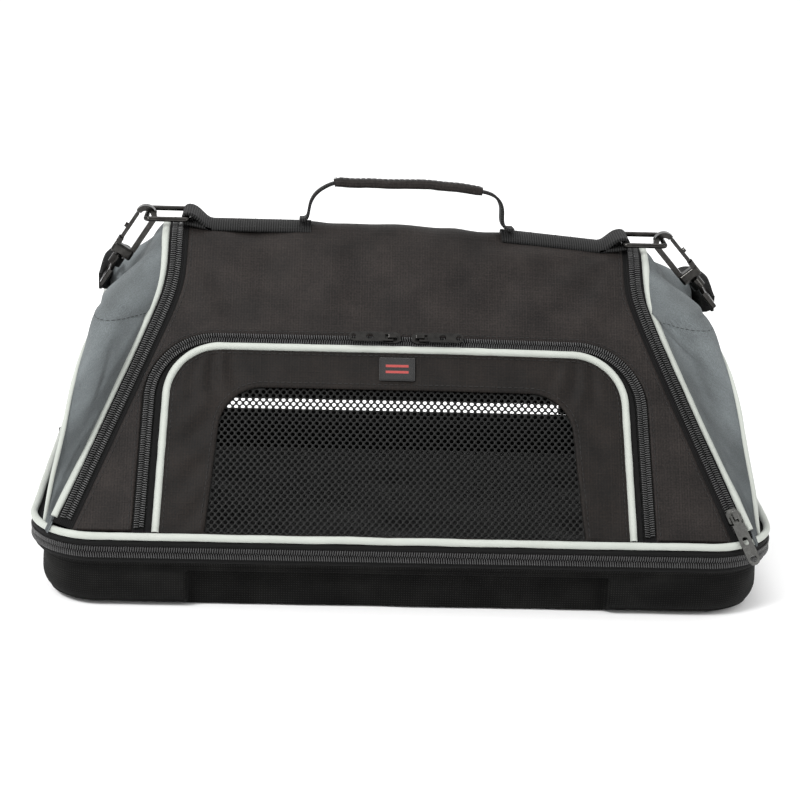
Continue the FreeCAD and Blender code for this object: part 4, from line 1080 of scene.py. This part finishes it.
# --------------------------------------------------------------- side gussets
def gusset_seam(arch, sign):
    """The point of the cover's side edge that faces each point of the arch."""
    share = (arch[:, 2] - ARCH[0][0]) / (ARCH[-1][0] - ARCH[0][0])
    x = np.full(len(arch), sign * EDGE_TOP_X)
    for _ in range(3):
        centre_z, angle, slope, crest = profile(x)
        z = SKIN_Z + share * (centre_z + RIDGE_R - SKIN_Z)
        bent = slope + RIDGE_R * (angle - np.arccos(np.clip((z - centre_z) / RIDGE_R, -1, 1)))
        s = np.where(z <= centre_z + RIDGE_R * np.cos(angle), (z - SKIN_Z) / np.sin(angle), bent)
        x = sign * edge_x(s * np.where(s > LEVEL_TO, CREST / crest, 1))
    y, z = slope_or_ridge(s, 0.0, centre_z, angle, slope)
    return np.stack([x, np.where(arch[:, 1] > 0, -y, y), z], 1)


def build_gusset(side, sign, arch):
    """A sheet from the piping's edge to the arch, with its seam and the arch's piping."""
    seam = gusset_seam(arch, sign)
    far = arch * [sign, 1, 1]
    across = unit(far - seam)
    near, rim_line = seam + across * (PIPING_R * 0.6), far - across * (PIPING_R * 0.4)
    v = np.linspace(0, 1, 28)
    rows = near[:, None] + (rim_line - near)[:, None] * v[None, :, None]
    normal = unit(np.cross(np.gradient(rows, axis=0), np.gradient(rows, axis=1))) * sign
    if np.sum(normal[60] * [sign, 0, 1]) < 0:
        normal = -normal
    height, arc = rows[..., 2], np.sin(math.pi * v)
    lift = 3.6 * arc * smooth(height, 55, 100) + 5.5 * bell(height - 156.0, 26.0) * np.sin(math.pi * v ** 2.2)
    lift += 0.8 * waves(height * 0.8, rows[..., 1] * 0.5 + v * 60, 30, 81 + sign) * arc
    lift += 0.7 * smooth(height, GUSSET_SEAM_Z, GUSSET_SEAM_Z + 3) - 1.1 * bell(height - GUSSET_SEAM_Z, 1.4)
    # a crease runs down and outwards from the piping, and a dart down from the seam
    lift += 1.5 * bell(height - 176.0 + 26.0 * v, 4.5) * arc
    lift -= 1.2 * bell(v - 0.55, 0.05) * smooth(height, 112, 126) * smooth(height, 150, 146)
    # the strap's buckle presses a hollow into the cloth
    middle = sum(node_box(f"swivel_eye_{side}")) / 2
    hollow = np.exp(-((rows[..., 1] - middle[1]) / 21.0) ** 4 - ((height - middle[2]) / 20.0) ** 4)
    outer = rows + normal * (lift * (1 - 1.15 * hollow))[..., None]
    inner = outer - normal * 1.2
    n, m = outer.shape[:2]
    faces, index = quads(n, m)
    uv = grid_uv(index, np.linalg.norm(rim_line - near, axis=1).mean() * v, lengths(rows[:, m // 2]))
    if np.cross(outer[1, 0] - outer[0, 0], outer[0, 1] - outer[0, 0]) @ normal[0, 0] <= 0:
        faces, uv = faces[:, ::-1], uv[:, ::-1]
    ring = border(n, m)
    walls = [[a, b, b + n * m, a + n * m] for a, b in zip(ring, ring[1:] + ring[:1])]
    shape = (np.vstack([outer.reshape(-1, 3), inner.reshape(-1, 3)]),
             faces.tolist() + (faces + n * m)[:, ::-1].tolist() + walls,
             np.vstack([uv.reshape(-1, 2), uv[:, ::-1].reshape(-1, 2), np.zeros((len(walls) * 4, 2))]))
    piece(f"gusset_cloth_{side}", shape, "cover", "grey_fabric", [f"gusset_{side}"])

    parts = []
    for half in (slice(0, n // 2), slice(n // 2, n)):
        line = []
        for j in range(2, m - 2):
            both = np.hstack([outer[half, j], normal[half, j]])
            both = both[np.argsort(both[:, 2])]
            line.append(sample(both, both[:, 2], [GUSSET_SEAM_Z + 1.6])[0])
        line = np.array(line)
        points, normals = resample(line[:, :3], 0.8, False, (unit(line[:, 3:]),))
        along = tangents(points)
        parts.append(stitch_row((points, along, unit(np.cross(along, normals)), normals), out=0.15))
    piece(f"gusset_stitches_{side}", merge(parts), "cover", "grey_fabric", mat=THREAD)

    path = resample(far, 2.0)
    along = tangents(path)
    flat = unit(np.cross(along, [sign * 1.0, 0, 0.2]))
    cord(f"arch_cord_{side}", (path, along, flat, unit(np.cross(flat, along))), ARCH_R,
         [(0.04, 21, 91 + sign)], 12, "cover", f"arch_piping_{side}")


def build_end(side, sign, arch, bend):
    """The end panel and its window: a sheet that bends only about Y."""
    def end_place(y, z, out):
        return np.stack([sign * (np.interp(z, bend[:, 2], bend[:, 0]) + out), y, z], -1)

    def slack(y, z, d):
        seed = 101 + sign
        return (0.7 * waves(y, z, 70, seed) + 0.25 * waves(y, z, 22, seed + 5)) * smooth(d, 0, 14)

    def window(grow, radius):
        half_y, half_z, middle_z = END_WINDOW
        return box_line(half_y + grow, half_z + grow, middle_z, radius)

    middle = np.array([0, 95.0])
    outline = middle + (arch[:, 1:] - middle) * 0.985
    outline[:, 1] = np.maximum(outline[:, 1], 47.5)
    shape = plate(dense(outline, 3.0, True), [window(0, 22)], end_place, 4.5, relief=slack)
    piece(f"end_cloth_{side}", shape, "cover", "grey_fabric", [f"end_panel_{side}"])
    net_piece(f"end_net_{side}", window(4, 25), end_place, -2.5, "cover", f"end_mesh_{side}")
    rows = sewn(window(3, 24), 0.15, True, end_place)
    piece(f"end_stitches_{side}", rows, "cover", "grey_fabric", mat=THREAD)


def build_sides():
    front, back = ([(x, way * y, z) for z, x, y in ARCH] for way in (-1, 1))
    arch = spline_through(front + back[-2::-1], 121)
    bend = spline_through([(x, 0, z) for z, x, _ in ARCH], 80)
    for side, sign in SIGN.items():
        build_gusset(side, sign, arch)
        build_end(side, sign, arch, bend)


build_sides()


# ----------------------------------------------------------------------- door
def door_relief(x, s, d):
    broad = 0.7 * waves(x, s, 60, 111) + 0.3 * waves(x, s, 24, 112)
    pucker = 0.3 * waves(x * 1.2, s * 1.2, 8, 113) * np.exp(-d / 7.0)
    # creases run from the window's upper corners towards the door's
    for side in (-1, 1):
        u, w = (x - DOOR_X) * side - 100.0, s - 92.0
        along, across = (u + w) * 0.7071, (u - w) * 0.7071
        fan = np.exp(-((along - 16) / 14.0) ** 2 - (across / 15.0) ** 2)
        pucker = pucker + 1.8 * fan * np.cos(across / 2.6 + 0.01 * along * along + side)
        low = u - 22.0
        pucker = pucker + 0.9 * bell(low, 9.0) * smooth(s, 96, 84) * np.cos((s + low * 0.8) / 4.2)
    return (broad * smooth(d, 0, 12) - 0.25 + pucker) * smooth(d, 0, 4)


def band(outer, inner, top, thick, seed):
    """A flat cloth band between two open lines drawn on the cover."""
    count = min(len(resample(line, 2.0)) for line in (outer, inner))
    a, b = (resample(line, lengths(line)[-1] / count) for line in (outer, inner))
    n = min(len(a), len(b))
    a, b = a[:n], b[:n]
    t = np.linspace(0, 1, 7)
    flat = a[:, None] * (1 - t)[None, :, None] + b[:, None] * t[None, :, None]
    lift = 0.18 * waves(lengths(a)[:, None], t * 20, 18, seed)
    upper = cover(flat[..., 0], flat[..., 1], top + lift - 0.25 * np.abs(2 * t - 1) ** 3)
    lower = cover(flat[:, ::-1, 0], flat[:, ::-1, 1], top - thick)
    rows = np.concatenate([upper, lower], 1)
    round_it = np.concatenate([t * 8, 8 + t * 8, [16]])
    return tube(rows, round_it, lengths(a), [np.zeros((2 * rows.shape[1], 2))])


def build_door():
    outline = door_line((-0.8, -0.8), 0.4, closed=True)
    shape = plate(outline, [door_window(1.0)], cover, 3.6, relief=door_relief)
    piece("door_cloth", shape, "door", "black_ripstop", ["door_panel"], mat=DOOR_CLOTH)
    net_piece("door_net", door_window(4.0, 2.5), cover, -2.3, "door", "door_mesh")
    cord("door_cord", on_cover(door_line((0, 0), 1.5), 2.0, 0.1), PIPING_R,
         [(0.04, 20, 121), (0.02, 6, 122)], 14, "door", "door_piping")
    # a flap outside the piping; the tape and teeth beyond it stay with the cover
    flap = band(door_line(FLAP_OUT, 1.5), door_line(FLAP_IN, 1.5), -0.5, 1.2, 131)
    piece("door_flap", flap, "door", "zip_tape", ["door_zip_flap"])
    tape = band(door_line(TAPE_OUT, 0.5), door_line(TAPE_IN, 0.5), -0.9, 1.0, 141)
    piece("door_tape", tape, "cover", "zip_tape", ["door_zip_tape"])
    line = on_cover(door_line(COIL_LINE, 4.0), 1.0, -0.2)
    piece("door_teeth", teeth(line, [(-3.0, -0.05, 0.3), (3.0, 0.05, 0.8)], 1.8), "cover", "zip_coil",
          ["door_zip_coil"])
    seam = door_window(3.0, 3.2)
    seam = seam[seam[:, 1] > 3.0]
    start = np.argmin(seam[:, 1] + (seam[:, 0] > 0) * 1e3)
    rows = [sewn(np.roll(seam, -start, 0)), sewn(door_line((-4.2, -4.2), 4.0))]
    piece("door_stitches", merge(rows), "door", "black_ripstop", mat=THREAD)
    # label: a plain woven patch with a stitched edge
    patch = box_line(11, 7.5, LABEL_S, 0.8, 1.0) + [DOOR_X, 0]
    piece("label", plate(patch, [], cover, 1.5, 1.1, 1.35, hem=0.5), "door", "patch", ["label_patch"])
    edge = on_cover(box_line(10.2, 6.7, LABEL_S, 0.6, 1.0) + [DOOR_X, 0], 0.5, closed=True)
    piece("label_stitches", stitch_row(edge, out=1.4, length=1.5, gap=0.6, thick=0.35), "door", "patch",
          mat=THREAD)


build_door()


# ------------------------------------------------------- ridge webbing, handle
def drop_at(y):
    """How far the ridge's round top falls away at y."""
    return RIDGE_R - np.sqrt(RIDGE_R ** 2 - y ** 2)


def ridge_seam(sign, x, y, across):
    """A row of stitches over the ridge through points at x and y."""
    p = np.column_stack([sign * x, y, ridge_at(sign * x) + 1.8 - drop_at(y)])
    return stitch_row((p, tangents(p), np.tile(across, (len(p), 1)), np.tile([0.0, 0, 1], (len(p), 1))))


def build_ridge():
    half, loop_r, over = STRAP_W / 2, 3.1, 0.9
    for side, sign in SIGN.items():
        def top(x):
            return float(ridge_at(sign * x)) + over

        # each station is x, z and how far it has left the ridge
        ring_z = top(RING_BAR_X) + 3.5
        line = [(x, top(x), 0.0) for x in np.arange(HANDLE_FOOT_X - 3.5, RING_BAR_X - 15, 2.0)]
        x0, z0, _ = line[-1]
        line += [(x0 + (RING_BAR_X - x0) * t, z0 + (ring_z + loop_r - z0) * float(smooth(t, 0, 1)),
                  float(smooth(t, 0, 0.8))) for t in np.linspace(0.15, 1, 7)]
        line += [(RING_BAR_X + loop_r * math.sin(a), ring_z + loop_r * math.cos(a), 1.0)
                 for a in np.radians(np.linspace(20, 180, 9))]
        for t in np.linspace(0.2, 1, 5):
            low = top(RING_BAR_X - 15 * t)
            line.append((RING_BAR_X - 15 * t, max((ring_z - loop_r) * (1 - t) + low * t, low), 1.0 - t))
        x, z, left = np.array(line).T
        line = np.column_stack([sign * x, 0 * x, z])
        along = tangents(line)
        across = np.tile([0.0, 1.0, 0.0], (len(line), 1))
        out = unit(np.cross(across, along)) * (-sign)
        out[0] = out[1]
        a = np.linspace(-half, half, 13)
        section = np.vstack([np.stack([a, a * 0 + 0.85], 1), np.stack([a[::-1], a * 0 - 0.85], 1)])
        shape = sweep((line, along, across, out), section)
        shape[0][:, 2] -= drop_at(np.clip(shape[0][:, 1], -half, half)) * np.repeat(1 - left, len(section))
        piece(f"ridge_web_{side}", shape, "cover", "black_webbing", [f"ridge_strap_{side}"])
        rows = []
        for x0, x1 in ((66, 80), (96, 106)):
            rows += [ridge_seam(sign, np.linspace(x0, x1, 30), np.full(30, y), [0.0, 1, 0])
                     for y in (-half + 2, half - 2)]
            rows += [ridge_seam(sign, np.full(40, x), np.linspace(-half + 2, half - 2, 40), [1.0, 0, 0])
                     for x in (x0, x1)]
        piece(f"ridge_stitches_{side}", merge(rows), "cover", "black_webbing", mat=THREAD)


def build_handle():
    lean = math.radians(HANDLE_LEAN)
    fall = float(ridge_at(-HANDLE_FOOT_X) - ridge_at(HANDLE_FOOT_X)) / (2 * HANDLE_FOOT_X)
    root = np.array([0, 0, float(ridge_at(-HANDLE_FOOT_X)) - fall * HANDLE_FOOT_X + STRAP_T + 0.5])
    up = np.array([0, math.sin(lean), math.cos(lean)])
    wide = np.array([0, math.cos(lean), -math.sin(lean)])
    tilt = math.atan(fall)
    turn = np.array([[math.cos(tilt), 0, math.sin(tilt)], [0, 1, 0], [-math.sin(tilt), 0, math.cos(tilt)]])
    f, g = HANDLE_FOOT_X, HANDLE_HALF
    # distance along, height and half width of the webbing: it stands up from each foot,
    # twists into the sleeve, and hangs a little lower at its right end
    points = [(-f - 4, 0.9, 11.5), (-f + 0.3, 1.8, 11.5), (-f + 1.6, 5.5, 11.2), (-f + 2.6, 11.5, 10.2),
              (-f + 5.5, 17.0, 8.8), (-f + 11.0, 21.6, 7.2), (-g + 1, 24.6, 6.0), (-g + 8, 25.2, 6.0),
              (g - 8, 24.6, 6.0), (g - 1, 23.6, 6.2), (g + 7, 21.6, 8.0), (g + 11.5, 17.6, 9.6),
              (g + 13.2, 11.8, 10.6), (g + 13.6, 5.5, 11.3), (g + 15.5, 1.7, 11.5), (g + 21, 0.9, 11.5)]
    fine = spline_through(points, 160)

    def frames(line):
        centre = np.outer(line[:, 0], [1, 0, 0]) + np.outer(line[:, 1], up)
        centre = root + centre @ turn.T
        along = tangents(centre)
        across = np.tile(turn @ wide, (len(line), 1))
        return centre, along, across, unit(np.cross(along, across))

    section = flat_section(-1, 1, -0.9, 0.9, edge=0.12)
    shape = sweep(frames(fine), widened(section, fine[:, 2]))
    web = piece("handle_web", shape, None, "black_webbing", ["handle_webbing"])
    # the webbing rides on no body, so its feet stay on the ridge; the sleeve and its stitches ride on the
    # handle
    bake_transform(web)

    x = np.linspace(-g, g, 90)
    sag = -0.5 * np.cos(x / g * math.pi / 2) + 0.25 * waves(x, 0, 30, 151)
    path = frames(np.column_stack([x, np.interp(x, fine[:, 0], fine[:, 1]) + sag]))
    angle = np.linspace(0, 2 * math.pi, 28, endpoint=False)
    # a rounded oblong, drawn in at the sleeve's ends
    oblong = [np.sign(c) * np.abs(c) ** 0.55 * size
              for c, size in ((np.cos(angle), 7.2), (np.sin(angle), 2.9))]
    end = 1 - 0.14 * smooth(np.abs(x), g - 4, g)
    wrinkle = 1 + 0.035 * waves(x[:, None], angle * 8, 11, 152)
    sections = np.stack(oblong, 1) * (end[:, None] * wrinkle)[..., None]
    piece("handle_sleeve", sweep(path, sections), "handle", "black_ripstop", ["handle_grip"])
    rows = [stitch_row(path, across=a, out=2.75) for a in (-5.2, 5.2)]
    piece("handle_stitches", merge(rows), "handle", "black_webbing", mat=THREAD)


build_ridge()
build_handle()


# ------------------------------------------------------- finishes of CAD nodes
def finish_nodes():
    moulded = {"ridge_batten": "board", "base_board": "board", "strap_adjuster": "strap_plastic"}
    for name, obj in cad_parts.items():
        if name in moulded:
            mat = MATS[moulded[name]]
        elif name.startswith(("ring_", "hook_", "gate_", "swivel_")):
            mat = MATS["gunmetal"]
        elif name.endswith(("_slider", "_pull")):
            mat = {"door": DARK_METAL, "side": PALE_METAL}.get(name[:4], MATS["gunmetal"])
        else:
            continue
        obj.data.materials.clear()
        obj.data.materials.append(mat)
        obj.data.shade_smooth()


finish_nodes()
